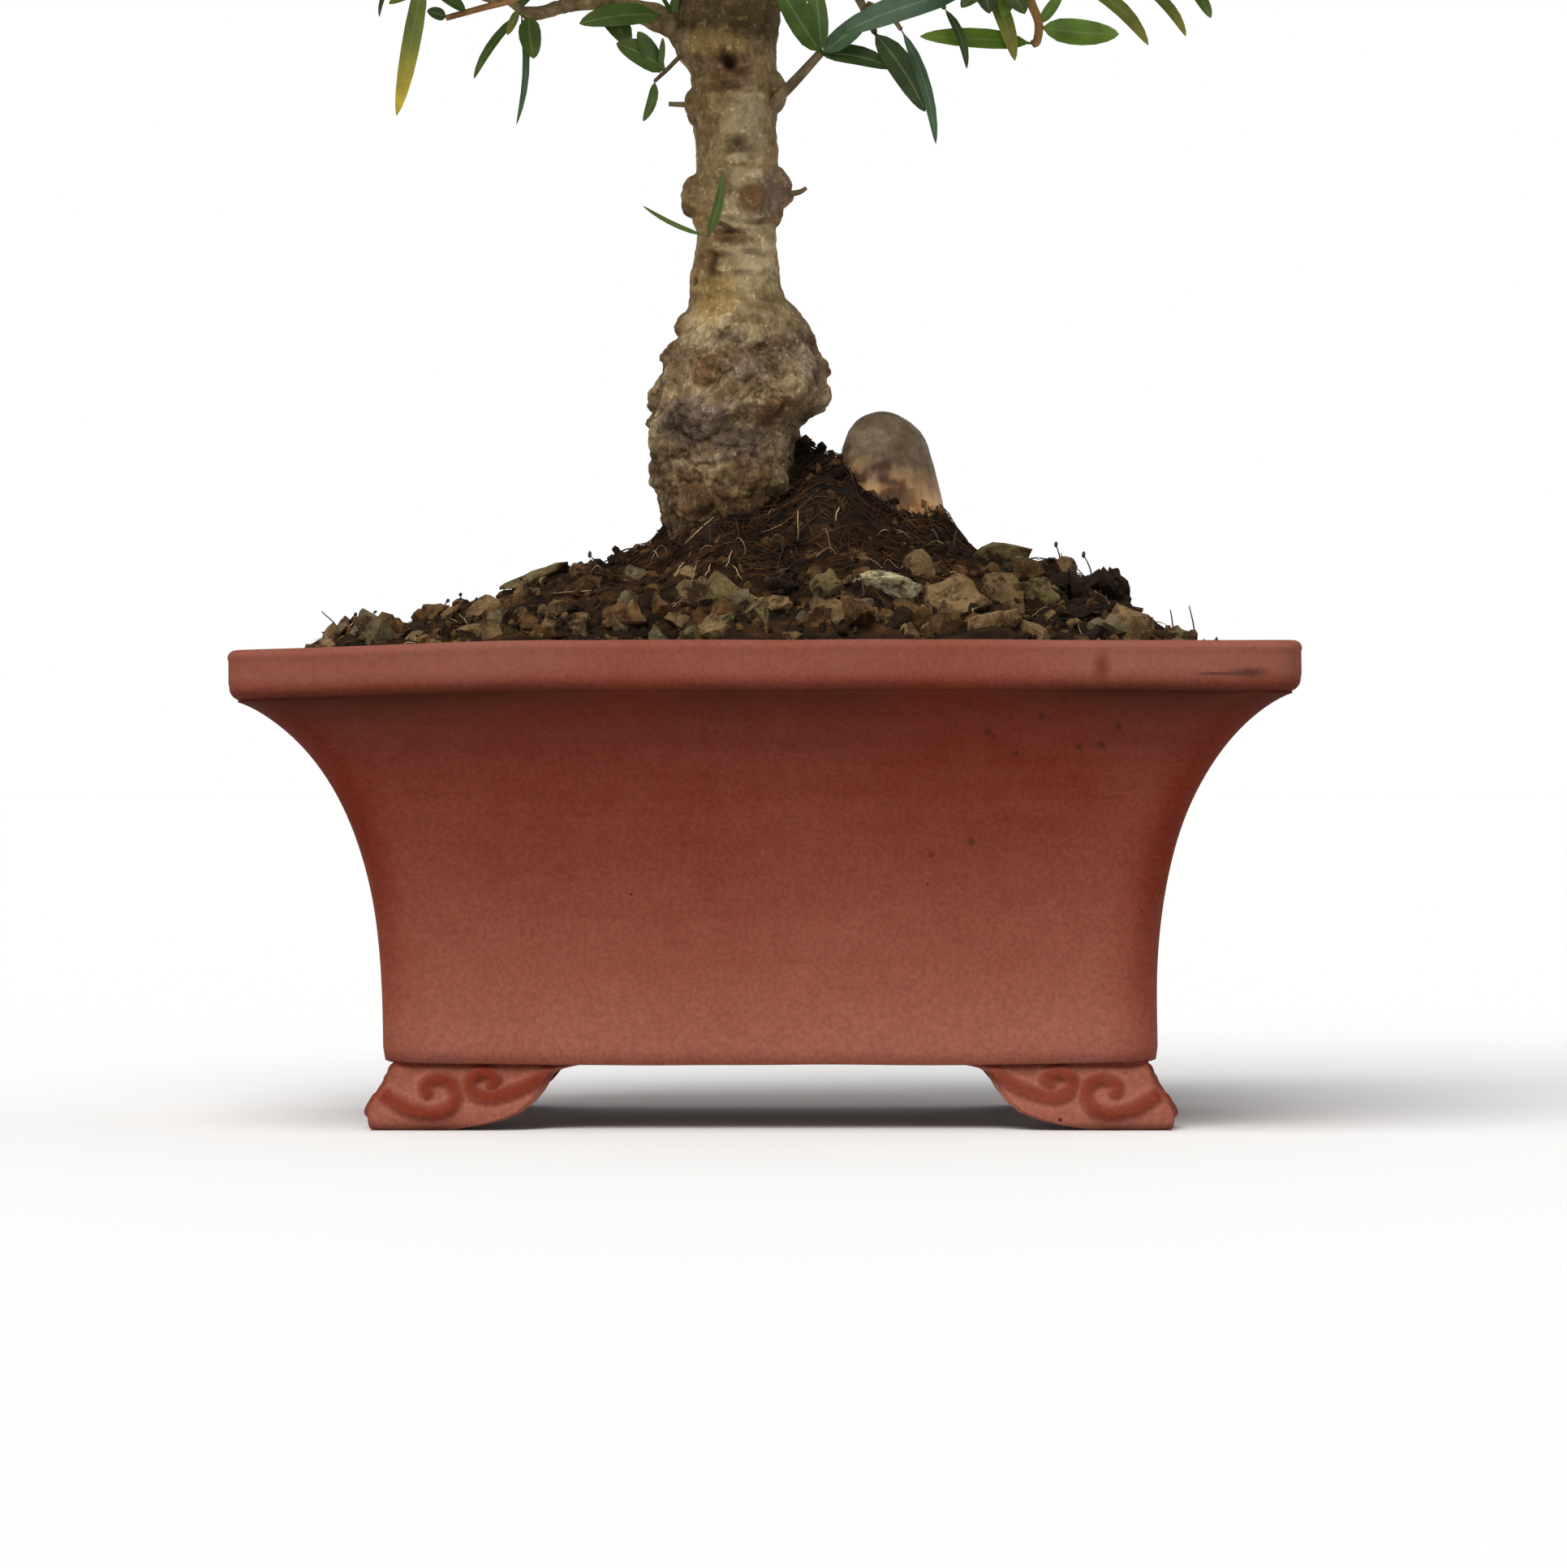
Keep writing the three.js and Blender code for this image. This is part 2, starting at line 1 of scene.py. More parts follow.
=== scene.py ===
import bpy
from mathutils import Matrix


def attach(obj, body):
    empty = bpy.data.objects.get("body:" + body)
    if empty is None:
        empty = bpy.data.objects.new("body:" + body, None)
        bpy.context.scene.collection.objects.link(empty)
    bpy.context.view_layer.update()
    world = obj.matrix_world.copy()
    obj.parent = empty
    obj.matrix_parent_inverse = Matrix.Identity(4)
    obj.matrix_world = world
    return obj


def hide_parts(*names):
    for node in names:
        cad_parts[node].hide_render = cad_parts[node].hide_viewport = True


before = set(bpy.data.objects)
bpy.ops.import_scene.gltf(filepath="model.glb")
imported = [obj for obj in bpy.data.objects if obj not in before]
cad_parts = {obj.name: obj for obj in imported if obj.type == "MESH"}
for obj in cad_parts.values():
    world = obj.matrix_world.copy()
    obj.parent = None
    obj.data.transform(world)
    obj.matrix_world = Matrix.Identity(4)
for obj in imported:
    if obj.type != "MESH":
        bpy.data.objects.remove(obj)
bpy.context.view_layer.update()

import math
from functools import partial

import bmesh
import bpy
import numpy as np
from mathutils import Vector, noise

mm = 0.001
up = np.array([0.0, 0.0, 1.0])


# Small tools

def fromHex(code):
    # sRGB hex to the linear colour that the shaders take
    parts = [int(code[i:i + 2], 16) / 255 for i in (1, 3, 5)]
    return tuple(p / 12.92 if p <= 0.04045 else ((p + 0.055) / 1.055) ** 2.4 for p in parts) + (1.0,)


def unit(v):
    v = np.asarray(v, float)
    return v / (np.linalg.norm(v, axis=-1, keepdims=True) + 1e-12)


def smooth(low, high, value):
    share = np.clip((np.asarray(value, float) - low) / (high - low), 0, 1)
    return share * share * (3 - 2 * share)


def hump(value, middle, half):
    # a soft bump, 1 in the middle and nearly 0 at twice the half width
    return np.exp(-((value - middle) / half) ** 2)


def alongTable(table, value):
    return np.interp(value, *np.transpose(table))


def roughness(points, size, octaves=3, seed=0.0):
    # fractal noise, about -1 to 1, with lumps of the given size in mm
    shift = Vector((seed * 13.7, seed * 7.1, seed * 3.3))
    return np.array([noise.fractal(Vector(p) / size + shift, 1.0, 2.0, octaves) for p in points])


def warts(points, size, seed=0.0):
    # round bumps, 1 on top and 0 between, each about that size in mm
    shift = Vector((seed * 5.3, seed * 11.9, seed * 2.7))
    near = np.array([noise.voronoi(Vector(p) / size + shift)[0][0] for p in points])
    return np.clip(1 - (near * 1.6) ** 2, 0, 1)


def wobble(points, size, seeds):
    # a roughness of its own along each axis
    return np.column_stack([roughness(points, size, 2, seed) for seed in seeds])


def outward(angle):
    # level directions at angles in radians
    return np.column_stack([np.cos(angle), np.sin(angle), np.zeros(len(angle))])


def addNode(tree, kind, settings, give=0):
    # sets a node's values, links the sockets among them, and gives back one of its outputs
    node = tree.nodes.new("ShaderNode" + kind)
    for key, value in settings.items():
        if key == "stops":
            ramp = node.color_ramp
            while len(ramp.elements) < len(value):
                ramp.elements.new(0.5)
            for element, (place, code) in zip(ramp.elements, value):
                element.position = place
                element.color = fromHex(code)
        elif isinstance(value, bpy.types.NodeSocket):
            tree.links.new(value, node.inputs[key])
        elif isinstance(key, int) or key in node.inputs:
            node.inputs[key].default_value = value
        else:
            setattr(node, key, value)
    return node.outputs[give]


def newMaterial(name, settings):
    # a material, addNode for its tree, and the place on the object
    material = bpy.data.materials.new(name)
    material.use_nodes = True
    tree = material.node_tree
    for key, value in settings.items():
        tree.nodes["Principled BSDF"].inputs[key].default_value = value
    return material, partial(addNode, tree), addNode(tree, "TexCoord", {}, "Object")


def paint(material, colour, normal=None):
    # links what the shader takes from nodes
    tree = material.node_tree
    shader = tree.nodes["Principled BSDF"]
    tree.links.new(colour, shader.inputs["Base Color"])
    if normal is not None:
        tree.links.new(normal, shader.inputs["Normal"])
    return material


def addPiece(name, points, faces, materials, slot, nodes, faceMaterial=None, attributes=None, flat=False):
    mesh = bpy.data.meshes.new(name)
    mesh.from_pydata((np.asarray(points, float) * mm).tolist(), [], faces)
    for material in materials:
        mesh.materials.append(material)
    if faceMaterial is not None:
        mesh.polygons.foreach_set("material_index", np.asarray(faceMaterial, np.int32))
    for key, values in (attributes or {}).items():
        layer = mesh.attributes.new(key, "FLOAT", "POINT")
        layer.data.foreach_set("value", np.asarray(values, np.float32))
    mesh.validate()
    if not flat:
        mesh.shade_smooth()
    piece = bpy.data.objects.new(name, mesh)
    bpy.context.scene.collection.objects.link(piece)
    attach(piece, "root")
    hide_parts(*nodes)
    return piece


def gridFaces(rows, columns, closed=True, start=0):
    # quads of a grid of points, row by row, its columns joined round when closed
    across = columns if closed else columns - 1
    return [
        (start + r * columns + c, start + r * columns + (c + 1) % columns,
         start + (r + 1) * columns + (c + 1) % columns, start + (r + 1) * columns + c)
        for r in range(rows - 1) for c in range(across)
    ]


def ringFaces(rows, columns):
    # quads between closed rings of points, with a cap on the first and on the last
    last = (rows - 1) * columns
    return gridFaces(rows, columns) + [tuple(range(columns - 1, -1, -1)), tuple(range(last, last + columns))]


def gridRim(rows, columns):
    # the outermost points of a grid, in order round it
    rim = list(range(columns)) + [r * columns + columns - 1 for r in range(1, rows)]
    rim += [(rows - 1) * columns + c for c in range(columns - 2, -1, -1)]
    rim += [r * columns for r in range(rows - 2, 0, -1)]
    return rim, list(zip(rim, rim[1:] + rim[:1]))


def joined(parts):
    # one set of points and faces out of many
    points, faces, count = [], [], 0
    for partPoints, partFaces in parts:
        points.append(np.asarray(partPoints, float))
        faces += [tuple(i + count for i in face) for face in partFaces]
        count += len(partPoints)
    return np.vstack(points), faces


def tube(path, radii, sides):
    # a closed round tube along points of a path
    path = np.asarray(path, float)
    ahead = unit(np.gradient(path, axis=0))
    side = unit(np.cross(ahead[0], [0.31, 0.83, 0.46]))
    turn = np.linspace(0, 2 * math.pi, sides, endpoint=False)[:, None]
    rings = []
    for point, way, radius in zip(path, ahead, radii):
        side = unit(side - way * np.dot(side, way))
        rings.append(point + radius * (np.cos(turn) * side + np.sin(turn) * np.cross(way, side)))
    return np.vstack(rings), ringFaces(len(path), sides)


def curveThrough(points, steps):
    # a smooth curve through points, with so many steps between each two
    p = np.asarray(points, float)
    p = np.vstack([2 * p[0] - p[1], p, 2 * p[-1] - p[-2]])
    t = np.linspace(0, 1, steps, endpoint=False)[:, None]
    out = []
    for a, b, c, d in zip(p[:-3], p[1:-2], p[2:-1], p[3:]):
        square, cube = 2 * a - 5 * b + 4 * c - d, 3 * b - a - 3 * c + d
        out.append(0.5 * (2 * b + (c - a) * t + square * t ** 2 + cube * t ** 3))
    return np.vstack(out + [p[-2:-1]])


# Pot: unglazed red stoneware, pressed in a mould and wiped with a wet sponge. Matt and a little cloudy, with
# fine grit, a few iron specks, faint level wipe marks and a pale dusty bloom on the rim and low on the walls.
# The bloom's fall towards the rim and the grime under the rim are partly painted shade

clay = {
    "deep": "#652413", "bloom": "#875041", "speck": "#3c1c14", "stain": "#3a211a", "dull": "#5a2215",
    "grime": "#34160a", "dust": "#745148", "roughness": 0.85,
    # sizes in mm of clouds, mottling, grit and wipe marks, how far apart specks are and their share of that
    "cloud": 42.0, "mottle": 6.0, "grit": 0.8, "wipe": (70.0, 70.0, 2.4), "speckApart": 8.0,
    "speckSize": 0.05,
    # marks on the rim's face: colour, middle, half sizes
    "marks": [
        ("stain", (84.2, -75.0, 85.7), (6.0, 9.0, 0.4)), ("stain", (89.6, -75.0, 85.9), (4.2, 9.0, 1.15)),
        ("dull", (62.3, -75.0, 87.0), (1.9, 9.0, 3.4)),
    ],
    # splashes of dirt on the front wall: place along x, height, half size
    "splashes": [
        (31.3, 51.9, 0.8), (38.9, 54.4, 0.9), (38.1, 80.0, 0.8), (41.6, 75.1, 0.9), (42.8, 74.2, 0.7),
        (51.6, 77.9, 1.0), (58.7, 72.2, 0.8), (62.9, 72.6, 1.0), (55.1, 81.0, 0.8), (47.0, 71.0, 0.6),
        (66.0, 76.0, 0.8),
    ],
}


def clayMaterial():
    material, add, at = newMaterial("unglazedRedStoneware", {
        "Roughness": clay["roughness"], "IOR": 1.5, "Specular IOR Level": 0.1})
    cloud = add("TexNoise", {"Scale": 1000 / clay["cloud"], "Detail": 4.0, "Vector": at})
    mottle = add("TexNoise", {"Scale": 1000 / clay["mottle"], "Detail": 5.0, "Roughness": 0.65, "Vector": at})
    grains = add("TexNoise", {"Scale": 1000 / clay["grit"], "Detail": 2.0, "Vector": at})
    stretch = add("Mapping", {"Scale": [1000 / size for size in clay["wipe"]], "Vector": at})
    wipe = add("TexNoise", {"Scale": 1.0, "Detail": 3.0, "Vector": stretch})
    # the bloom mask: a pale dusty bloom, partly painted light, paler low down and darker under the rim; on
    # the feet it also holds painted highlights and painted shade
    bloom = add("Attribute", {"attribute_name": "bloom"}, "Fac")
    for part, swing in ((cloud, 0.2), (mottle, 0.15), (wipe, 0.08)):
        change = add("MapRange", {0: part, 1: 0.3, 2: 0.7, 3: -swing / 2, 4: swing / 2})
        bloom = add("Math", {"operation": "ADD", 0: bloom, 1: change})
    deep, pale = fromHex(clay["deep"]), fromHex(clay["bloom"])
    colour = add("Mix", {"data_type": "RGBA", 0: bloom, 6: deep, 7: pale}, 2)
    lightness = add("MapRange", {0: grains, 1: 0.3, 2: 0.7, 3: 0.85, 4: 1.15})
    colour = add("HueSaturation", {"Color": colour, "Value": lightness})
    near = add("TexVoronoi", {"Scale": 1000 / clay["speckApart"], "Vector": at}, "Distance")
    chosen = add("SeparateColor", {0: near.node.outputs["Color"]})
    size = add("MapRange", {0: chosen, 1: 0.55, 2: 1.0, 3: 0.0, 4: clay["speckSize"]})
    specks = add("Math", {"operation": "LESS_THAN", 0: near, 1: size})
    masks = [("speck", specks)]
    # grime: dark dirt under the rim, partly painted shade where the rim overhangs; dust: pale dust on the
    # rim's top
    for layer in ("grime", "dust"):
        share = add("Attribute", {"attribute_name": layer}, "Fac")
        patchy = add("MapRange", {0: cloud, 1: 0.35, 2: 0.65, 3: 0.6, 4: 1.3})
        masks.append((layer, add("Math", {"operation": "MULTIPLY", 0: share, 1: patchy})))
    splashes = [("speck", (x, -60.0, z), (half, 30.0, half)) for x, z, half in clay["splashes"]]
    for code, middle, half in clay["marks"] + splashes:
        inside = add("Mapping", {"Scale": [1000 / h for h in half], "Vector": at,
                                 "Location": [-m / h for m, h in zip(middle, half)]})
        far = add("VectorMath", {"operation": "LENGTH", 0: inside}, "Value")
        masks.append((code, add("MapRange", {0: far, 1: 1.1, 2: 0.3, 3: 0.0, 4: 0.72})))
    for code, mask in masks:
        colour = add("Mix", {"data_type": "RGBA", 0: mask, 6: colour, 7: fromHex(clay[code])}, 2)
    level = add("Bump", {"Strength": 0.18, "Distance": 0.0005, "Height": wipe})
    skin = add("Bump", {"Strength": 0.3, "Distance": 0.00025, "Height": grains, "Normal": level})
    return paint(material, colour, skin)


pot = {
    "length": 200.0, "depth": 150.0, "height": 92.0, "rimHeight": 9.5, "rimWidth": 12.0, "footHeight": 12.6,
    "flare": 26.6, "wall": 8.0, "floor": 9.0, "corner": 6.5, "rimRound": 1.5, "lipRound": 2.4, "droop": 2.0,
    "sag": 1.0, "uneven": 0.22, "lean": 1.2, "cornerSteps": 14, "sideSteps": 30, "wallSteps": 40,
    # how strong the pale bloom and the dark grime are at each height; both are partly painted shade, darkest
    # just under the rim
    "bloom": [(12, 0.85), (16, 1.0), (30, 0.64), (50, 0.36), (66, 0.24), (76, 0.16), (82, 0.12), (83.5, 0.2),
              (86, 0.4), (91, 0.42), (92, 0.36)],
    "grime": [(60, 0), (68, 0.054), (76, 0.27), (80, 0.504), (82.4, 0.72), (83.4, 0.45), (84.6, 0.216),
              (86.4, 0)],
    "dust": 0.3, "cornerDarkening": 0.4,
}
rimFoot = pot["height"] - pot["rimHeight"]
wallFoot = pot["length"] / 2 - pot["flare"]
insideTop = pot["length"] / 2 - pot["rimWidth"]
insideFloor = pot["footHeight"] + pot["floor"]
depthLess = (pot["length"] - pot["depth"]) / 2


def potOutside(z):
    share = np.clip((z - pot["footHeight"]) / (rimFoot - pot["footHeight"]), 0, 1)
    return wallFoot + (pot["flare"] - pot["lipRound"] * 0.4) * (1 - (1 - share ** 3) ** 0.7)


def potInside(z):
    share = np.clip((z - insideFloor) / (pot["height"] - insideFloor), 0, 1)
    return wallFoot - pot["wall"] + (insideTop - wallFoot + pot["wall"]) * share ** 2.2


def arc(centreX, centreY, radius, start, end, steps):
    turn = np.radians(np.linspace(start, end, steps))
    return [(centreX + radius * math.cos(t), centreY + radius * math.sin(t)) for t in turn]


def potPlan(half):
    # the outline at one level: round corners joined by straight sides, as points going round
    c = min(pot["corner"], half * 0.4)
    corners = []
    for quarter, (sx, sy) in enumerate([(1, -1), (1, 1), (-1, 1), (-1, -1)]):
        turn = np.radians(np.linspace(0, 90, pot["cornerSteps"]) + 90 * quarter - 90)
        middle = [sx * (half - c), sy * (half - depthLess - c)]
        corners.append(np.column_stack([middle[0] + c * np.cos(turn), middle[1] + c * np.sin(turn)]))
    between = np.linspace(0, 1, pot["sideSteps"] + 1)[1:-1, None]
    out = []
    for corner, following in zip(corners, corners[1:] + corners[:1]):
        out += [corner, corner[-1] + between * (following[0] - corner[-1])]
    return np.vstack(out)


def potWarp(points):
    # what hand and kiln did: a corner that droops, a base that sags, sides that are not quite true
    x, y, z = points.T
    front = smooth(60, -75, y)
    high = smooth(20, 90, z)
    points[:, 0] += pot["lean"] * (1 - z / pot["height"])
    points[:, 2] -= pot["droop"] * smooth(35, 105, -x) * front * high
    base = smooth(24, 12, z) * smooth(40, 55, np.abs(y))
    points[:, 2] -= pot["sag"] * np.clip(1 - (x / 70) ** 2, 0, 1) * base
    points += pot["uneven"] * wobble(points, 34, (1, 2, 3))
    return points


def makePot(material):
    lip, rim = pot["lipRound"], pot["rimRound"]
    low, top, half = pot["footHeight"], pot["height"], pot["length"] / 2
    levels = low + (rimFoot - low) * (1 - (1 - np.linspace(0, 1, pot["wallSteps"])) ** 1.6)
    # half lengths and heights, from the middle of the base out, up the wall, over the rim and down inside
    profile = [(0.4, low + 1.5), (wallFoot - 8, low + 1.5), (wallFoot - 5, low)]
    profile += [(wallFoot - 1.2, low), (wallFoot - 0.35, low + 0.35)]
    profile += [(potOutside(z), z) for z in levels[1:-1]]
    profile += arc(half - 0.5 - lip, rimFoot + lip, lip, -70, 0, 8)
    profile += [(half - 0.35, z) for z in np.linspace(rimFoot + lip + 1, top - rim - 0.6, 5)]
    profile += arc(half - 0.2 - rim, top - rim, rim, 0, 90, 7)
    profile += arc(insideTop + rim, top - rim, rim, 90, 180, 6)
    profile += [(potInside(z), z) for z in np.linspace(top - rim - 2, insideFloor, 12)]
    profile += [(0.4, insideFloor)]
    rings = []
    for reach, z in profile:
        plan = potPlan(reach) if reach > 1 else potPlan(60) * 0.004
        rings.append(np.column_stack([plan, np.full(len(plan), z)]))
    columns = len(rings[0])
    points = potWarp(np.vstack(rings))
    reach, z = np.repeat(profile, columns, 0).T
    inward = np.maximum(reach - np.abs(points[:, 0]), reach - depthLess - np.abs(points[:, 1]))
    # less bloom, so darker, near the vertical corners below the rim
    darkerNearCorners = pot["cornerDarkening"] * smooth(10, 1, inward) * smooth(84, 80, z)
    layers = {"bloom": alongTable(pot["bloom"], z) - darkerNearCorners, "grime": alongTable(pot["grime"], z),
              "dust": pot["dust"] * smooth(84, 86.5, z)}
    faces = ringFaces(len(rings), columns)
    addPiece("potBody", points, faces, [material], "clay", ["pot"], attributes=layers)


# Feet: corner brackets with two cloud scrolls carved on each face

foot = {
    "thick": 9.0, "columns": 90, "rows": 44, "ridge": 1.5, "ridgeWide": 1.45, "sunk": 0.6, "uneven": 0.12,
    # outline seen from the front: height, and place of the outer or inner edge from the pot's corner
    "outer": [
        (0.0, -2.5), (0.3, -2.75), (0.75, -2.95), (1.5, -3.15), (2.3, -3.2), (3.3, -3.0), (4.25, -2.5),
        (6.5, -0.96), (8.7, 0.5), (11.6, 1.28), (13.0, 1.4),
    ],
    "inner": [
        (0.0, 13.0), (0.4, 15.4), (0.9, 18.6), (1.8, 22.4), (2.7, 25.0), (3.6, 26.8), (5.6, 29.2),
        (7.6, 30.8), (9.2, 31.7), (10.7, 32.6), (11.6, 34.4), (12.4, 38.4), (13.0, 38.8),
    ],
    # two scrolls that curl up and over, back to back: places along the foot and up
    "scrolls": [
        [(-1.4, 7.9), (2.7, 5.2), (6.3, 3.7), (9.8, 3.2), (12.9, 4.3), (14.0, 6.6), (12.9, 8.8),
         (10.3, 9.5), (8.1, 8.4), (8.4, 7.2)],
        [(31.0, 10.4), (26.8, 8.1), (23.2, 6.8), (19.8, 6.2), (17.4, 7.0), (16.5, 8.7), (17.4, 10.3),
         (19.6, 10.7), (21.2, 9.6), (20.8, 8.7)],
    ],
    "corners": {"front_left": (-1, -1), "front_right": (1, -1), "back_left": (-1, 1), "back_right": (1, 1)},
}


def makeFeet(material):
    # a carved skin round the pot's corner, from the end of one leg to the end of the other, and a plain back
    rows, columns = foot["rows"], foot["columns"]
    across = 2 * columns - 1
    count = rows * across
    height = np.linspace(0, foot["outer"][-1][0], rows)[:, None]
    rise = np.repeat(height, across, 1)
    outer, inner = alongTable(foot["outer"], height), alongTable(foot["inner"], height)
    share = np.abs(np.linspace(-1, 1, across))[None, :]
    onFront = np.arange(across)[None, :] >= columns - 1
    along = outer + foot["sunk"] + (inner - outer - foot["sunk"]) * share
    fromCorner, fromEnd = along - outer, inner - along
    spots = np.column_stack([along.ravel(), rise.ravel()])
    line = np.vstack([curveThrough(scroll, 14) for scroll in foot["scrolls"]])
    near = np.sqrt(((spots[:, None, :] - line[None, :, :]) ** 2).sum(2)).min(1).reshape(along.shape)
    ridge = np.exp(-(near / foot["ridgeWide"]) ** 2.6) * smooth(0.2, 1.6, fromCorner)
    edge = np.minimum(fromEnd, rise * 1.2 + 0.1)
    relief = foot["ridge"] * ridge * smooth(0, 1.2, edge) - foot["sunk"] - 1.1 * (1 - smooth(0, 1.5, edge))
    relief -= 0.5 * smooth(11.6, 12.3, rise)
    turned = smooth(-0.2, 1.4, fromCorner)
    relief = relief * turned - foot["sunk"] * (1 - turned)
    inside = foot["thick"] + (inner - foot["thick"]) * share
    layers = []
    for run, inward in ((along, outer - relief), (inside, foot["thick"])):
        layer = [np.where(onFront, run, inward), np.where(onFront, inward, run), rise]
        layers.append(np.stack(layer, 2).reshape(-1, 3))
    faces = gridFaces(rows, across, False) + [f[::-1] for f in gridFaces(rows, across, False, count)]
    faces += [(b, a, a + count, b + count) for a, b in gridRim(rows, across)[1]]
    # paler ground and deeper-coloured ridges; the pale lines beside the ridges and along the inner end are
    # painted highlights, the darkening along the top, where the foot meets the pot, is painted shade, and it
    # is darker at the corner
    bloom = 0.8 - 0.72 * ridge + 0.25 * hump(near, 2.0, 0.5) + 0.2 * smooth(2.4, 0.8, fromEnd)
    bloom -= 0.5 * smooth(11.2, 12.2, rise) + 0.3 * smooth(2.5, 0.0, fromCorner)
    bloom = np.concatenate([bloom.ravel(), np.full(count, 0.3)])
    for name, (sx, sy) in foot["corners"].items():
        points = [wallFoot, wallFoot - depthLess, 0] - np.vstack(layers) * [1, 1, -1]
        points = points * [sx, sy, 1]
        points[:, 0] += pot["lean"] * (1 - points[:, 2] / pot["height"])
        points += foot["uneven"] * wobble(points, 9, (4, 5, 6)) * smooth(0, 2, points[:, 2:])
        ownFaces = faces if sx * sy > 0 else [f[::-1] for f in faces]
        addPiece("scrollFoot_" + name, points, ownFaces, [material], "clay", ["foot_" + name],
                 attributes={"bloom": bloom})


stoneware = clayMaterial()
makePot(stoneware)
makeFeet(stoneware)
print("pot and feet made")


# Soil: damp peat matted with root fibre, with tan and grey grit, lumps of bark and a few thin moss stalks

soil = {
    "edge": 90.6, "rise": 16.0, "fall": 2.2, "floor": 70.0, "columns": 280, "rows": 200,
    # lumps, clods and crumbs: height, size, octaves of noise
    "relief": [(0.6, 17, 2), (1.7, 6, 3), (1.1, 1.9, 2)],
    # clumps high on the heap: height, size, and the levels between which they and the damp set in
    "clump": (2.6, 8.0), "clumpsFrom": (101, 116), "wetFrom": (112, 121), "frontSlope": (-61.5, -3),
    # heaps and hollows: middle, height, half width and depth
    "heaps": [
        (9.0, 7.0, 24.6, 29.0, 33.0), (62.0, -4.0, 4.5, 13.0, 18.0), (-22.0, -7.0, -6.0, 11.0, 13.0),
        (4.0, -11.0, -4.5, 8.0, 9.0), (-68.0, 0.0, -3.2, 22.0, 70.0), (84.0, 0.0, -4.0, 12.0, 70.0),
    ],
    # clods, as waves that cross: direction in degrees, distance between crests, height
    "waves": [(14, 23.0, 1.3), (77, 19.0, 1.2), (131, 26.0, 1.3)],
    "peat": "#2e1f12", "peatDark": "#130e09", "fibreBrown": "#523419", "wet": "#1c1813",
    # sizes in mm of crumbs and of matted threads
    "crumbs": 5.0, "threads": (9.0, 9.0, 1.6),
}


def soilHeight(x, y):
    across = np.clip(1 - np.abs(x / insideTop) ** soil["fall"], 0, None)
    along = np.clip(1 - np.abs(y / (insideTop - depthLess)) ** soil["fall"], 0, None)
    height = soil["edge"] + soil["rise"] * across * along
    for middleX, middleY, tall, wide, deep in soil["heaps"]:
        height = height + tall * np.exp(-((x - middleX) / wide) ** 2 - ((y - middleY) / deep) ** 2)
    for direction, apart, tall in soil["waves"]:
        way = x * math.cos(math.radians(direction)) + y * math.sin(math.radians(direction))
        height = height + tall * np.sin(2 * math.pi * way / apart)
    return height


def soilSurface(x, y):
    flat = np.column_stack([x, y, np.zeros(len(x))])
    smoothed = soilHeight(x, y)
    rough = np.zeros(len(x))
    for seed, (tall, size, octaves) in enumerate(soil["relief"], 1):
        rough += tall * roughness(flat, size, octaves, seed)
    stirred = flat + 2.2 * np.column_stack([rough, rough[::-1], rough])
    tall, size = soil["clump"]
    rough += tall * smooth(*soil["clumpsFrom"], smoothed) * (warts(stirred, size, 5) - 0.5)
    inward = np.minimum(insideTop - np.abs(x), insideTop - depthLess - np.abs(y))
    return smoothed + rough * smooth(-1, 9, inward)


def soilAt(x, y):
    return soilSurface(np.array([x]), np.array([y]))[0]


def peatMaterial():
    # wet fibrous crumbs: dull and nearly black, browner where threads of root lie on top
    material, add, at = newMaterial("dampPeat", {"Roughness": 0.95, "Specular IOR Level": 0.06})
    crumbs = add("TexNoise", {"Scale": 1000 / soil["crumbs"], "Detail": 6.0, "Roughness": 0.7, "Vector": at})
    matted = add("Mapping", {"Scale": [1000 / size for size in soil["threads"]], "Vector": at})
    threads = add("TexNoise", {"Scale": 1.0, "Detail": 5.0, "Distortion": 0.8, "Vector": matted})
    codes = (soil["peatDark"], soil["peat"], soil["fibreBrown"])
    dark = add("ValToRGB", {"stops": list(zip((0.36, 0.55, 0.74), codes)), "Fac": crumbs})
    brown = add("ValToRGB", {"stops": list(zip((0.42, 0.58, 0.7), codes)), "Fac": threads})
    colour = add("Mix", {"data_type": "RGBA", 0: 0.5, 6: dark, 7: brown}, 2)
    wet = add("Attribute", {"attribute_name": "wet"}, "Fac")
    colour = add("Mix", {"data_type": "RGBA", 0: wet, 6: colour, 7: fromHex(soil["wet"])}, 2)
    return paint(material, colour, add("Bump", {"Strength": 0.8, "Distance": 0.0012, "Height": crumbs}))


def makeSoil(material):
    rows, columns = soil["rows"], soil["columns"]
    halfX, halfY = insideTop - 0.2, insideTop - depthLess - 0.2
    gridX, gridY = np.meshgrid(np.linspace(-1, 1, columns) * halfX, np.linspace(-1, 1, rows) * halfY)
    x, y = gridX.ravel(), gridY.ravel()
    top = np.column_stack([x, y, soilSurface(x, y)])
    floor = np.column_stack([x * 0.93, y * 0.93, np.full(len(x), soil["floor"])])
    rim, sides = gridRim(rows, columns)
    below = {spot: len(x) + i for i, spot in enumerate(rim)}
    faces = gridFaces(rows, columns, False) + [(b, a, below[a], below[b]) for a, b in sides]
    faces += [tuple(below[spot] for spot in rim[::-1])]
    points = np.vstack([top, floor[rim]])
    wet = 0.8 * smooth(*soil["wetFrom"], points[:, 2] + 3 * roughness(points, 8, 2, 9))
    addPiece("peatHeap", points, faces, [material], "soil", ["soil"], attributes={"wet": wet})


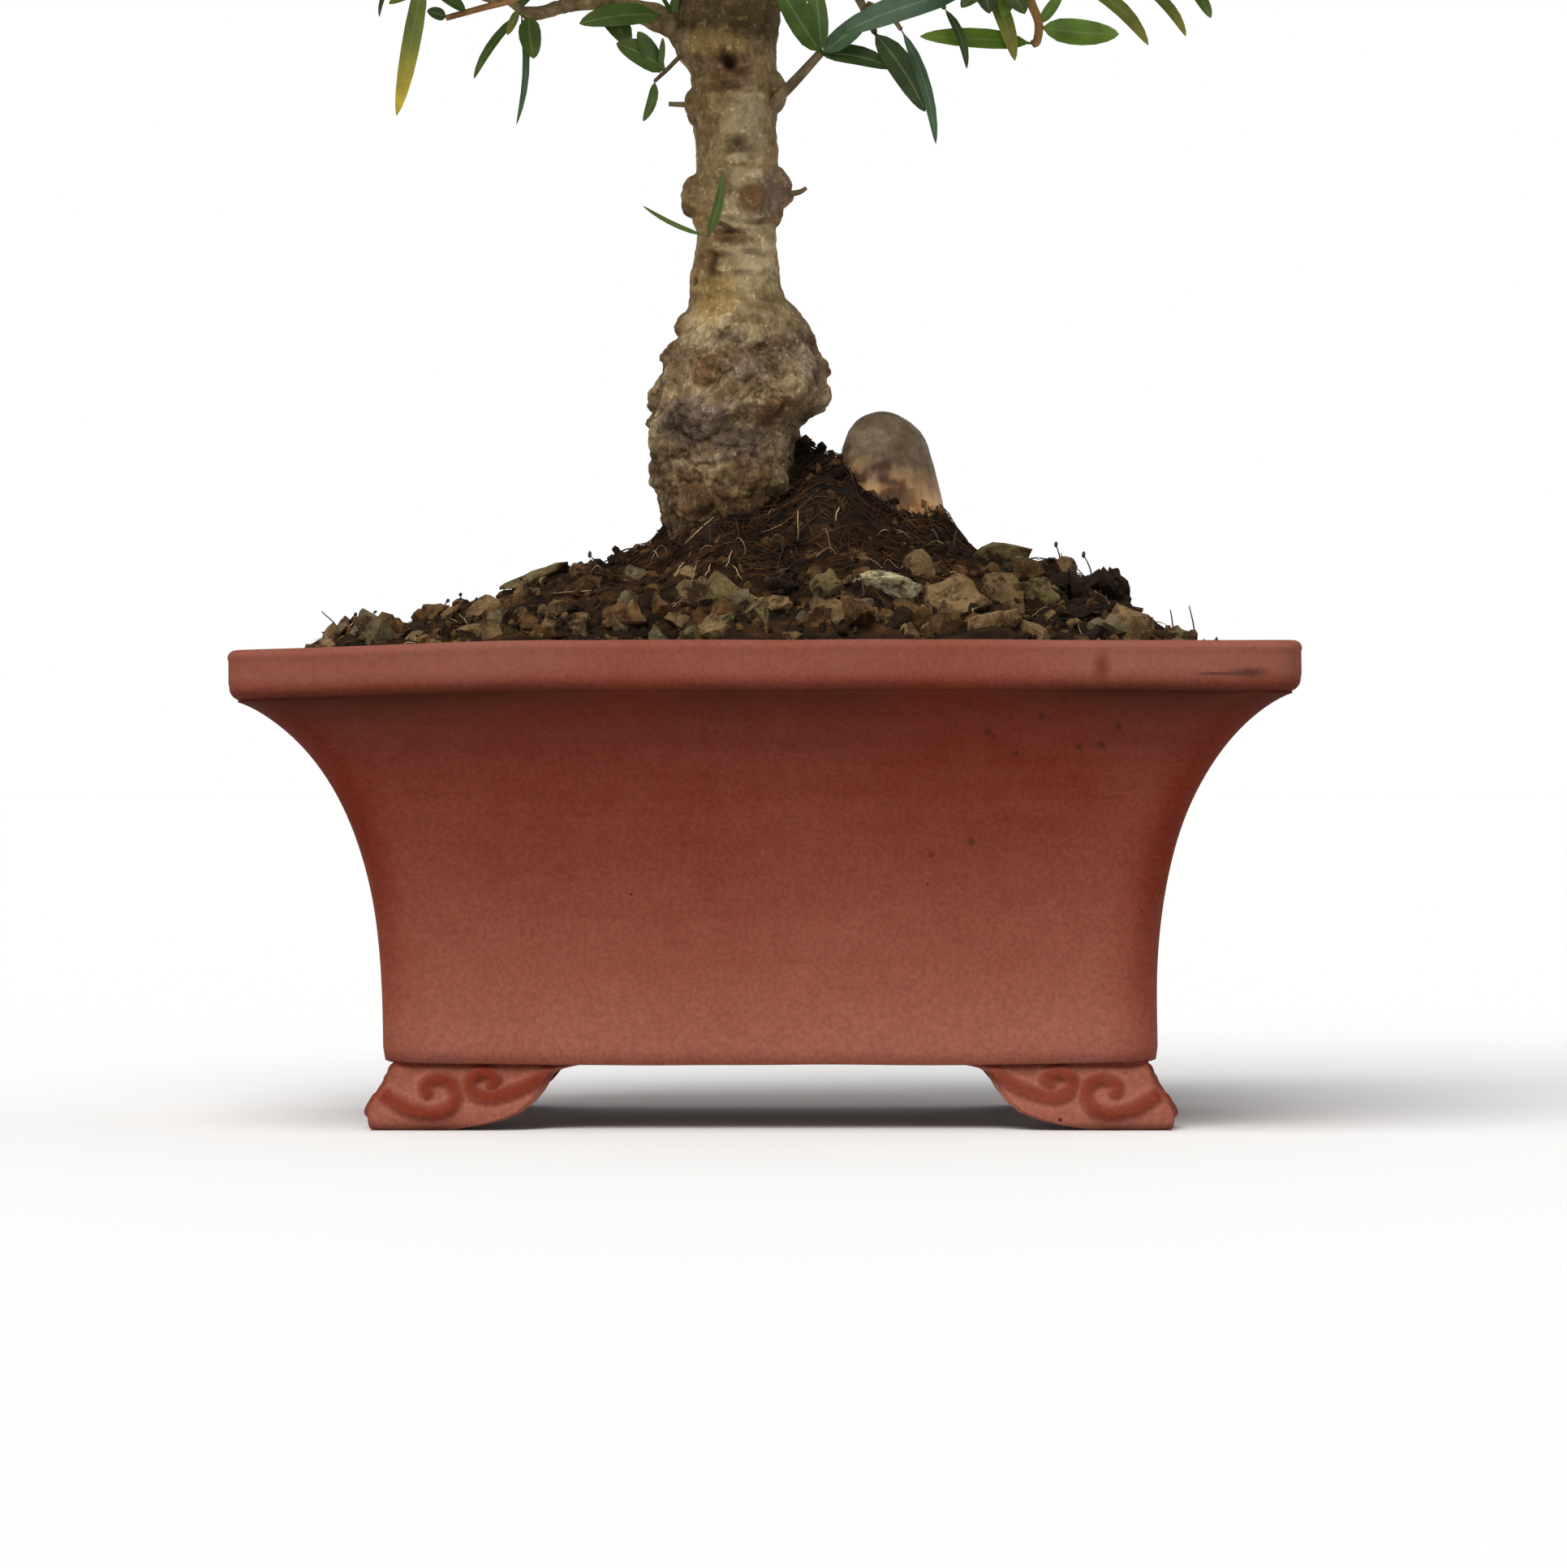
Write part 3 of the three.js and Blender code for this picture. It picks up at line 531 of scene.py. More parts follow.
grit = {
    "seed": 21, "loose": 300, "small": (0.8, 2.0), "edge": 62, "crumbs": 2200, "clump": 22,
    "kinds": ["tan", "tan", "tan", "brown", "brown", "grey", "black"],
    "colours": {
        "tan": ("#523f25", "#8e7350"), "brown": ("#42301b", "#785736"), "grey": ("#4d412d", "#7a6c50"),
        "olive": ("#51442a", "#827149"), "pale": ("#95855f", "#d9cda9"), "black": ("#1a130d", "#362920"),
    },
    # a stone is a ball with so many cuts, so far out, then swollen back and roughened
    "cuts": 8, "cutAt": (0.3, 0.8), "swell": 1.42, "rough": 0.32,
    # sizes in mm of blotches, grain and stuck peat
    "blotch": 6.0, "grain": 1.1, "stuck": 4.2,
    # loose stones lie within this reach, few above this height
    "reach": (85, 60), "bareAbove": 107,
    # stones that show in front: place along x, height, half sizes, kind
    "shown": [
        (-52.6, 96.6, (3.9, 3.4, 3.3), "tan"), (-45.0, 95.5, (2.3, 2.0, 2.0), "brown"),
        (-43.9, 105.4, (6.4, 2.8, 1.7), "olive"), (-72.9, 99.3, (2.9, 2.6, 2.6), "brown"),
        (-82.0, 96.4, (2.8, 2.4, 2.0), "brown"), (-14.6, 105.4, (2.0, 1.6, 1.6), "tan"),
        (-14.1, 100.6, (3.6, 3.0, 2.8), "tan"), (-19.8, 97.4, (2.9, 2.6, 3.6), "brown"),
        (-14.9, 95.4, (3.2, 2.8, 3.0), "tan"), (-6.0, 100.0, (4.6, 2.8, 4.4), "olive"),
        (-26.6, 95.6, (3.2, 2.4, 2.6), "brown"), (-1.6, 96.4, (3.0, 2.8, 3.0), "olive"),
        (23.0, 102.2, (5.2, 3.4, 2.9), "pale"), (13.1, 102.5, (3.0, 2.6, 3.2), "olive"),
        (9.5, 95.7, (3.3, 2.8, 2.0), "brown"), (37.5, 98.4, (5.6, 4.4, 5.2), "tan"),
        (46.4, 106.6, (6.4, 4.6, 4.2), "olive"), (57.9, 106.4, (2.7, 2.2, 2.2), "tan"),
        (46.6, 100.2, (4.6, 3.8, 4.4), "tan"), (57.6, 100.8, (5.4, 4.6, 6.0), "black"),
        (66.0, 101.4, (5.6, 5.0, 6.4), "black"), (74.2, 95.8, (2.6, 2.2, 1.8), "tan"),
        (79.8, 97.0, (2.0, 1.8, 1.8), "olive"), (26.9, 96.0, (3.6, 2.8, 2.8), "brown"),
        (43.0, 95.2, (4.0, 3.0, 2.6), "tan"), (57.0, 96.2, (5.2, 3.6, 3.6), "black"),
        (66.4, 96.4, (5.0, 3.6, 3.6), "black"), (-35.0, 97.6, (2.6, 2.4, 2.2), "black"),
        (3.5, 101.4, (3.6, 2.8, 3.2), "black"), (-60.6, 96.0, (2.6, 2.2, 1.9), "black"),
        (31.0, 105.4, (2.8, 2.4, 2.0), "brown"), (-33.6, 103.0, (2.4, 2.2, 1.8), "brown"),
        (-64.0, 99.0, (2.2, 2.0, 1.8), "brown"), (-8.0, 95.0, (2.4, 2.2, 2.2), "grey"),
        (17.6, 97.8, (2.6, 2.2, 2.4), "grey"), (33.0, 94.8, (2.8, 2.4, 1.9), "olive"),
        (52.6, 101.0, (3.4, 2.8, 3.0), "olive"),
    ],
}


def gritMaterial(kind):
    # broken stone and clay lumps: dull and dusty, paler in blotches and grain, with damp peat stuck to them
    dark, pale = grit["colours"][kind]
    material, add, at = newMaterial(kind + "Grit", {"Roughness": 0.94, "Specular IOR Level": 0.08})
    blotch = add("TexNoise", {"Scale": 1000 / grit["blotch"], "Detail": 3.0, "Vector": at})
    grain = add("TexNoise", {"Scale": 1000 / grit["grain"], "Detail": 5.0, "Roughness": 0.75, "Vector": at})
    stuck = add("TexNoise", {"Scale": 1000 / grit["stuck"], "Detail": 6.0, "Roughness": 0.7, "Vector": at})
    light = add("Mix", {"data_type": "FLOAT", 0: 0.5, 2: blotch, 3: grain})
    colour = add("ValToRGB", {"stops": [(0.38, dark), (0.62, pale)], "Fac": light})
    share = add("MapRange", {0: stuck, 1: 0.5, 2: 0.6, 3: 0.0, 4: 0.85})
    colour = add("Mix", {"data_type": "RGBA", 0: share, 6: colour, 7: fromHex(soil["peat"])}, 2)
    return paint(material, colour, add("Bump", {"Strength": 1.0, "Distance": 0.0012, "Height": grain}))


def ballTemplate(cuts):
    ball = bmesh.new()
    bmesh.ops.create_icosphere(ball, subdivisions=cuts, radius=1)
    points = np.array([v.co[:] for v in ball.verts])
    faces = [tuple(v.index for v in f.verts) for f in ball.faces]
    ball.free()
    return points, faces


def stone(template, middle, sizes, dice):
    # a broken lump: a ball cut by planes in many directions, then roughened, sized, tipped and turned
    points, faces = template
    p = points.copy()
    for way in unit(dice.normal(0, 1, (grit["cuts"], 3))):
        over = p @ way - dice.uniform(*grit["cutAt"])
        p -= np.clip(over, 0, None)[:, None] * way
    p *= (grit["swell"] + grit["rough"] * roughness(points, 0.62, 4, dice.uniform(0, 40)))[:, None]
    turn, tip = dice.uniform(-0.5, 0.5, 2)
    x, y, z = (p * np.asarray(sizes)).T
    x, z = x * math.cos(tip) - z * math.sin(tip), x * math.sin(tip) + z * math.cos(tip)
    x, y = x * math.cos(turn) - y * math.sin(turn), x * math.sin(turn) + y * math.cos(turn)
    return np.column_stack([x, y, z]) + middle, faces


def frontOfHeap(x, z):
    # the spot on the front slope at that height
    y = np.linspace(*soil["frontSlope"], 160)
    heights = soilHeight(np.full(len(y), x), y)
    return y[np.argmax(heights >= min(z, heights.max()))]


def makeGrit():
    dice = np.random.default_rng(grit["seed"])
    fine, coarse, rough = ballTemplate(3), ballTemplate(2), ballTemplate(1)
    reachX, reachY = grit["reach"]
    heaps = {kind: [] for kind in grit["colours"]}
    for x, z, sizes, kind in grit["shown"]:
        y = frontOfHeap(x, z) + sizes[1] * 0.25
        spot = np.array([x, y, min(z, soilHeight(x, y) + 0.3 * sizes[2])])
        if kind == "black":  # rotted bark, a clump of crumbs
            for _ in range(grit["clump"]):
                middle = spot + 0.55 * dice.uniform(-1, 1, 3) * sizes
                heaps[kind].append(stone(coarse, middle, dice.uniform(0.2, 0.5, 3) * sizes, dice))
        else:
            heaps[kind].append(stone(fine, spot, sizes, dice))
    spots = [(dice.uniform(-reachX, reachX), dice.uniform(-reachY, reachY), 1.0)
             for _ in range(grit["loose"])]
    spots += [(dice.uniform(-84, 84), dice.uniform(-reachY, -52), 1.35) for _ in range(grit["edge"])]
    for x, y, larger in spots:
        size = dice.uniform(*grit["small"]) * larger * (1.0 if dice.random() < 0.75 else 1.5)
        if soilHeight(x, y) > grit["bareAbove"] and dice.random() < 0.93:
            continue
        kind = grit["kinds"][dice.integers(len(grit["kinds"]))]
        spot = (x, y, soilAt(x, y) + size * 0.1)
        heaps[kind].append(stone(coarse, spot, size * dice.uniform(0.75, 1.25, 3), dice))
    x, y = dice.uniform(-86, 86, grit["crumbs"]), dice.uniform(-61, 61, grit["crumbs"])
    for spot in zip(x, y, soilSurface(x, y) + 0.15):
        kind = "black" if dice.random() < 0.6 else "brown"
        heaps[kind].append(stone(rough, spot, dice.uniform(0.35, 1.25, 3), dice))
    for kind, stones in heaps.items():
        addPiece("grit_" + kind, *joined(stones), [gritMaterial(kind)], "soil", ["soil"], flat=True)


roots = {
    "seed": 33, "steps": 8, "change": 6.0, "shownRadius": 0.11,
    # share matted round the trunk, and how they lie there: middle and spread along x and y
    "matted": 0.72, "matX": (9, 26), "matY": (-6, 24),
    # kinds of fibre: how many, up to what height, how they wander, ranges of radius, length and lift, colours
    "dark": {"count": 1500, "below": 200, "wander": 0.55, "radius": (0.08, 0.2), "length": (6, 18),
             "lift": (0.1, 1.3), "colours": ("#150e09", "#3d2817")},
    "brown": {"count": 500, "below": 118, "wander": 0.55, "radius": (0.06, 0.16), "length": (8, 24),
              "lift": (0.1, 1.1), "colours": ("#301e0f", "#603f1f")},
    "pale": {"count": 84, "below": 117, "wander": 1.4, "radius": (0.05, 0.09), "length": (3, 8),
             "lift": (0.4, 2.4), "colours": ("#7f6643", "#c3ad84")},
    # pale threads that show in front: x and height of each end
    "shown": [
        (-9.9, 117.3, -15.9, 111.5), (-13.9, 110.7, -17.2, 105.1), (-6.3, 109.8, -7.8, 105.7),
        (-6.0, 107.0, -4.2, 103.9), (6.2, 118.0, 6.2, 111.2), (14.6, 119.6, 13.0, 115.1),
        (28.2, 108.4, 32.6, 105.5), (-10.2, 107.6, -11.4, 104.6), (-40.4, 101.8, -27.3, 102.6),
        (-79.0, 96.0, -83.5, 93.8), (-76.0, 96.6, -79.0, 93.6), (-58.0, 97.5, -55.2, 94.8),
        (-62.6, 98.0, -57.4, 95.6),
    ],
}


def fibreMaterial(kind):
    # dry root fibre: dull, from dark to straw-coloured along each thread
    dark, pale = roots[kind]["colours"]
    material, add, at = newMaterial(kind + "RootFibre", {"Roughness": 0.85, "Specular IOR Level": 0.12})
    change = add("TexNoise", {"Scale": 1000 / roots["change"], "Detail": 3.0, "Vector": at})
    return paint(material, add("ValToRGB", {"stops": [(0.36, dark), (0.64, pale)], "Fac": change}))


def makeRoots():
    dice = np.random.default_rng(roots["seed"])
    steps = roots["steps"]
    share = np.linspace(0, 1, steps)
    for kind in ("dark", "brown", "pale"):
        own = roots[kind]
        threads = []
        while len(threads) < own["count"]:
            if dice.random() < roots["matted"]:
                x, y = dice.normal(*roots["matX"]), dice.normal(*roots["matY"])
            else:
                x, y = dice.uniform(-82, 82), dice.uniform(-58, 58)
            if abs(x) > 84 or abs(y) > 59 or soilHeight(x, y) > own["below"]:
                continue
            length = dice.uniform(*own["length"])
            heading = dice.normal(0, own["wander"]) + math.pi * (dice.random() < 0.5)
            turns = heading + np.cumsum(dice.normal(dice.normal(0, 0.12), 0.14, steps))
            x = np.clip(x + np.cumsum(length / steps * np.cos(turns)), -86, 86)
            y = np.clip(y + np.cumsum(length / steps * np.sin(turns)), -61, 61)
            low = np.maximum(soilSurface(x, y), soilHeight(x, y) - 0.4)
            low = np.convolve(np.pad(low, 1, "edge"), [0.25, 0.5, 0.25], "valid")
            z = low + dice.uniform(*own["lift"]) * np.sin(math.pi * share * dice.uniform(0.55, 1.0)) + 0.05
            thick = dice.uniform(*own["radius"])
            threads.append(tube(np.column_stack([x, y, z]), thick * (1 - 0.7 * share ** 2), 3))
        for x0, z0, x1, z1 in roots["shown"] if kind == "pale" else []:
            x, z = x0 + (x1 - x0) * share + dice.normal(0, 0.12, steps), z0 + (z1 - z0) * share
            y = np.array([frontOfHeap(a, b) for a, b in zip(x, z)]) - 1.0 - 0.8 * np.sin(math.pi * share)
            radii = roots["shownRadius"] * (1 - 0.6 * share ** 2)
            threads.append(tube(np.column_stack([x, y, z]), radii, 4))
        addPiece("rootFibre_" + kind, *joined(threads), [fibreMaterial(kind)], "soil", ["soil"])


moss = {
    "seed": 8, "stalk": 0.16, "capsule": 0.42, "tufts": 70, "colour": "#2a2216",
    # stalks that show: foot x, height of the foot, lean x, lean z, capsule length
    "stalks": [
        (57.4, 107.6, -1.0, 4.2, 1.2), (59.2, 106.6, 0.6, 1.8, 0.7), (63.8, 107.0, -1.8, 3.0, 1.4),
        (55.0, 107.0, -1.0, 1.4, 1.3), (56.0, 107.0, 0.2, 1.6, 1.3), (79.1, 95.4, -0.6, 3.7, 0.0),
        (83.2, 94.4, -1.2, 5.4, 0.0), (-81.7, 96.4, -4.0, 2.2, 0.0), (-79.4, 96.4, 0.3, 1.6, 0.9),
        (-80.6, 95.6, -0.6, 1.8, 0.8), (-62.3, 98.1, 1.0, 2.6, 0.8), (-46.4, 102.4, -1.4, 3.0, 0.8),
        (-32.2, 107.4, -1.7, 2.2, 1.4),
    ],
}


def makeMoss():
    # dried moss stalks: thin, dark and faintly glossy, some with a seed capsule
    dice = np.random.default_rng(moss["seed"])
    material = newMaterial("driedMossStalk", {"Roughness": 0.7, "Base Color": fromHex(moss["colour"])})[0]
    ball, ballFaces = ballTemplate(1)
    stalks = [(x, max(frontOfHeap(x, z), -20), z, *shape) for x, z, *shape in moss["stalks"]]
    for _ in range(moss["tufts"]):
        x, y = dice.uniform(-84, 84), dice.uniform(-58, 58)
        lean, tall = dice.normal(0, 1.2), dice.uniform(1.5, 4.2)
        stalks.append((x, y, soilAt(x, y), lean, tall, dice.uniform(0.5, 1.0) * (dice.random() < 0.5)))
    parts = []
    for x, y, z, lean, tall, long in stalks:
        base = np.array([x, y, min(z, soilAt(x, y)) - 0.6])
        tip = np.array([x + lean, y + dice.normal(0, 0.5), z + tall])
        path = curveThrough([base, (base + tip) / 2 + [-lean * 0.25, 0, 0.4], tip], 4)
        parts.append(tube(path, moss["stalk"] * np.linspace(1.3, 0.7, len(path)), 5))
        if long:
            parts.append((ball * [moss["capsule"], moss["capsule"], long * 0.55] + tip, ballFaces))
    addPiece("mossStalks", *joined(parts), [material], "soil", ["soil"])


makeSoil(peatMaterial())
makeGrit()
makeRoots()
makeMoss()
print("soil made")


# Trunk: smooth evergreen bark, tan with olive and grey patches, corky on the swelling, with healed knots

trunk = {
    "sectors": 220, "rings": [(110, 226, 380), (228, 336, 50)], "swellTop": 158.0, "sunk": 0.15,
    # height, middle in x, middle in y, radius
    "stations": [
        (110, -7.4, 0, 10.6), (115.6, -6.8, 0, 12.4), (120.3, -7.0, 0, 13.4), (125, -7.8, 0, 14.2),
        (129.9, -8.5, 0, 14.4), (133.1, -8.3, 0, 14.8), (136.3, -7.5, 0, 16.1), (139.4, -5.6, 0, 17.1),
        (145.8, -4.4, 0, 16.5), (149, -4.8, 0, 15.6), (152.2, -4.2, 0, 14.2), (155.3, -4.5, 0, 13.3),
        (158.5, -4.7, 0, 11), (161.7, -5.7, 0, 9.1), (164.9, -5.9, 0, 8.7), (171.3, -5.7, 0, 8.1),
        (187.2, -5.6, 0, 8.1), (193.5, -5.9, 0, 8.1), (198.3, -6.1, 0, 8.8), (203, -6.1, 0, 8.7),
        (205.4, -6.4, 0, 8.7), (207.8, -7.5, 0, 9.8), (210.5, -7.8, 0, 10.2), (213, -7.8, 0, 10.6),
        (219, -8, 0, 10.5), (227, -7.6, 0, 10), (235, -7, 0, 9.4), (248, -5.6, 0, 8.3), (262, -4, 0, 7.4),
        (280, -3.6, 0.4, 6.5), (300, -3.1, 0.9, 5.4), (320, -2.6, 1.3, 4.4), (336, -2.3, 1.6, 3.5),
    ],
    # knots: height, direction round the trunk, half width, half height, how far each stands out
    "knots": [
        (180.6, 180, 4.4, 4.4, 2.8), (176.6, 190, 3.2, 3.0, 0.9), (182.2, 2, 4.2, 4.0, 2.6),
        (178.0, 356, 3.2, 3.4, 1.3), (198.0, 184, 3.0, 3.6, 1.4), (201.0, 356, 3.6, 4.2, 1.5),
        (155.4, 196, 3.0, 2.4, 1.4), (213.6, 186, 4.2, 4.2, 1.2), (222, 340, 4.6, 5.0, 1.2),
        (176.5, 95, 4.0, 4.4, 2.0), (193, 140, 3.4, 3.6, 1.4), (190, 48, 3.8, 4.0, 1.8),
        (205, 80, 3.6, 4.0, 1.5), (206.0, 267, 3.6, 3.4, 0.7), (190.4, 271, 2.8, 2.4, 0.5),
        (150.4, 183, 2.6, 2.4, 1.4), (140.4, 181, 2.6, 2.6, 0.9), (136.0, 180, 1.6, 1.3, 1.1),
        (126.5, 182, 1.8, 1.4, 0.6), (147.0, 358, 2.4, 2.0, 1.0), (141.3, 357, 2.4, 2.2, 1.0),
        (137.2, 358, 1.8, 1.6, 0.8), (133.5, 2, 1.6, 1.4, 0.7), (152.5, 350, 2.0, 1.6, 0.6),
    ],
    # round scars: height, direction, half width, half height, dome, how brown, how deeply creased
    "scars": [
        (179.7, 291, 2.8, 3.1, 1.1, 1.0, 0.3), (145.8, 243, 2.9, 3.4, 0.9, 0.85, 0.5),
        (125.6, 289, 4.6, 3.2, 0.6, 0.7, 0.6), (138.0, 297, 2.8, 2.0, 0.6, 0.8, 0.5),
        (150, 60, 3.2, 3.2, 0.5, 0.8, 0.5), (168, 120, 2.8, 2.8, 0.5, 0.8, 0.2),
        (145.6, 272, 2.4, 2.0, 0.5, 0.0, 0.5), (120.6, 238, 4.2, 3.2, 0.8, 0.9, 0.5),
        (151.4, 298, 1.2, 1.0, 0.3, 0.7, 0.5),
    ],
    # creases about a scar: how far out, how deep
    "creases": [(1.1, 1.0), (0.72, 0.5), (0.4, 0.3), (1.5, 0.4)],
    # pits: height, direction, half width, half height, depth, how dark the painted shade in them is
    "pits": [
        (206.0, 266, 1.45, 1.5, 3.0, 1.3), (166.6, 238, 0.8, 2.4, 0.7, 0.7),
        (190.2, 271, 1.4, 1.2, 1.0, 0.9), (173.0, 262, 2.6, 0.5, 0.8, 0.8),
        (171.4, 258, 1.4, 0.6, 0.6, 0.5), (163.2, 205, 0.8, 0.8, 0.5, 0.8),
        (138.6, 303, 0.7, 1.0, 0.8, 1.0), (134, 226, 1.6, 1.2, 0.6, 0.4),
    ],
    # level wrinkles: height, direction of the middle, how far round, depth, half height
    "wrinkles": [
        (168.4, 275, 80, 0.8, 0.6), (175.0, 285, 75, 0.85, 0.5), (201.0, 272, 60, 0.85, 0.7),
        (188.6, 270, 40, 0.6, 0.5), (213.4, 268, 120, 0.5, 0.8), (164.6, 280, 70, 0.5, 0.6),
        (160.2, 270, 140, 0.6, 1.0), (229, 90, 150, 0.3, 0.6), (243, 270, 150, 0.3, 0.7),
    ],
    # patches of colour: kind, height, direction, half width, half height, strength
    "patches": [
        ("cream", 194, 284, 5.0, 8.0, 0.7), ("cream", 168, 296, 7.0, 8.0, 0.8),
        ("cream", 177, 274, 5.0, 4.0, 0.8), ("cream", 183.4, 284, 5.0, 2.6, 0.8),
        ("cream", 187.4, 270, 3.0, 1.4, 0.8), ("cream", 154, 262, 12.0, 4.4, 0.7),
        ("cream", 146, 300, 9.0, 6.0, 0.35), ("cream", 127.6, 240, 7.0, 1.6, 0.5),
        ("mauve", 136, 243, 10.0, 5.0, 0.9), ("mauve", 131.6, 284, 7.0, 4.4, 0.9),
        ("mauve", 181, 335, 5.0, 5.5, 0.9), ("mauve", 150.6, 296, 6.0, 3.0, 0.5),
        ("umber", 121.5, 236, 8.0, 6.4, 1.0), ("umber", 120, 285, 9.0, 4.0, 0.8),
        ("umber", 204.6, 264, 6.0, 4.6, 0.8), ("umber", 196, 214, 4.5, 14.0, 0.5),
        ("umber", 170, 216, 4.0, 9.0, 0.6), ("umber", 138, 300, 4.0, 3.4, 0.5),
        ("umber", 184, 246, 2.2, 5.0, 0.4), ("umber", 172.0, 263, 5.0, 1.8, 0.9),
        ("ochre", 160, 236, 6.0, 6.0, 0.8), ("ochre", 170, 212, 4.0, 9.0, 0.5),
        ("ochre", 209, 258, 8.0, 3.0, 0.6), ("ochre", 200, 232, 4.0, 6.0, 0.4),
        ("mauve", 145.8, 274, 3.6, 3.0, 0.8), ("mauve", 148, 325, 6.0, 5.0, 0.6),
        ("umber", 155.6, 280, 5.0, 1.2, 0.5), ("mauve", 152.4, 258, 4.0, 2.0, 0.6),
        ("umber", 149.6, 282, 5.0, 1.0, 0.6), ("umber", 117.6, 262, 18.0, 5.0, 0.9),
        ("mauve", 194, 300, 4.0, 6.0, 0.4),
    ],
    # more patches, dealt to the back: least and most of the same measures
    "backPatches": 26, "backSeed": 4, "backKinds": ["cream", "mauve", "umber"],
    "backRanges": [(114, 228), (10, 170), (3, 7), (3, 8), (0.5, 1.0)],
    # sizes in mm of changes of colour and of painted glints, and threads on the cork: size, how much paler
    "patch": 9.0, "blotch": (3.0, 3.0, 3.6), "fleck": 0.9, "glintSize": 1.6,
    "threads": [(8.0, 0.14), (4.0, 0.09), (6.0, -0.14)],
    # heights between which the painted shade under the crown sets in and fades, and the painted shade at the
    # foot, below the swelling, sets in
    "shade": (208, 214), "shadeEnd": (262, 232), "footShade": (136, 117),
    # tones, each a ramp from hollows to high spots, laid over the last one where its attribute says; the
    # ramps paint shade into hollows and light onto high spots
    "plain": [(0.28, "#4b3b25"), (0.42, "#6a5a3b"), (0.54, "#846f4d"), (0.72, "#a7946e")],
    "tones": [
        ("cork", 1.0, [(0.16, "#2e2214"), (0.34, "#5f4c35"), (0.54, "#7d684c"), (0.76, "#a8946f")]),
        ("cream", 1.0, [(0.24, "#655439"), (0.42, "#93805d"), (0.58, "#ae9d7a"), (0.74, "#cdbf9c")]),
        ("ochre", 1.0, [(0.24, "#4f3c1d"), (0.42, "#7d6336"), (0.58, "#9c8150"), (0.74, "#bda570")]),
        ("mauve", 1.0, [(0.16, "#2c221a"), (0.34, "#55463a"), (0.54, "#6c5b4c"), (0.76, "#948371")]),
        ("umber", 1.0, [(0.2, "#26170c"), (0.4, "#4f3823"), (0.56, "#694e33"), (0.76, "#8a6f4e")]),
        ("scar", 0.95, [(0.26, "#372315"), (0.48, "#61452d"), (0.74, "#84674a")]),
        ("shaded", 1.0, [(0.3, "#1e150b"), (0.5, "#3d2f1a"), (0.72, "#655232")]),
        # painted shade for pits, crease rings and wrinkles, nearly black
        ("pit", 1.0, [(0.0, "#1a0f07"), (1.0, "#3a2815")]),
    ],
}
trunkLine = curveThrough(trunk["stations"], 8)


def trunkAt(z):
    # middle and radius at heights, along a smooth curve through the stations
    return [np.interp(z, trunkLine[:, 0], trunkLine[:, k]) for k in (1, 2, 3)]


def around(angle, direction):
    return (angle - direction + 180) % 360 - 180


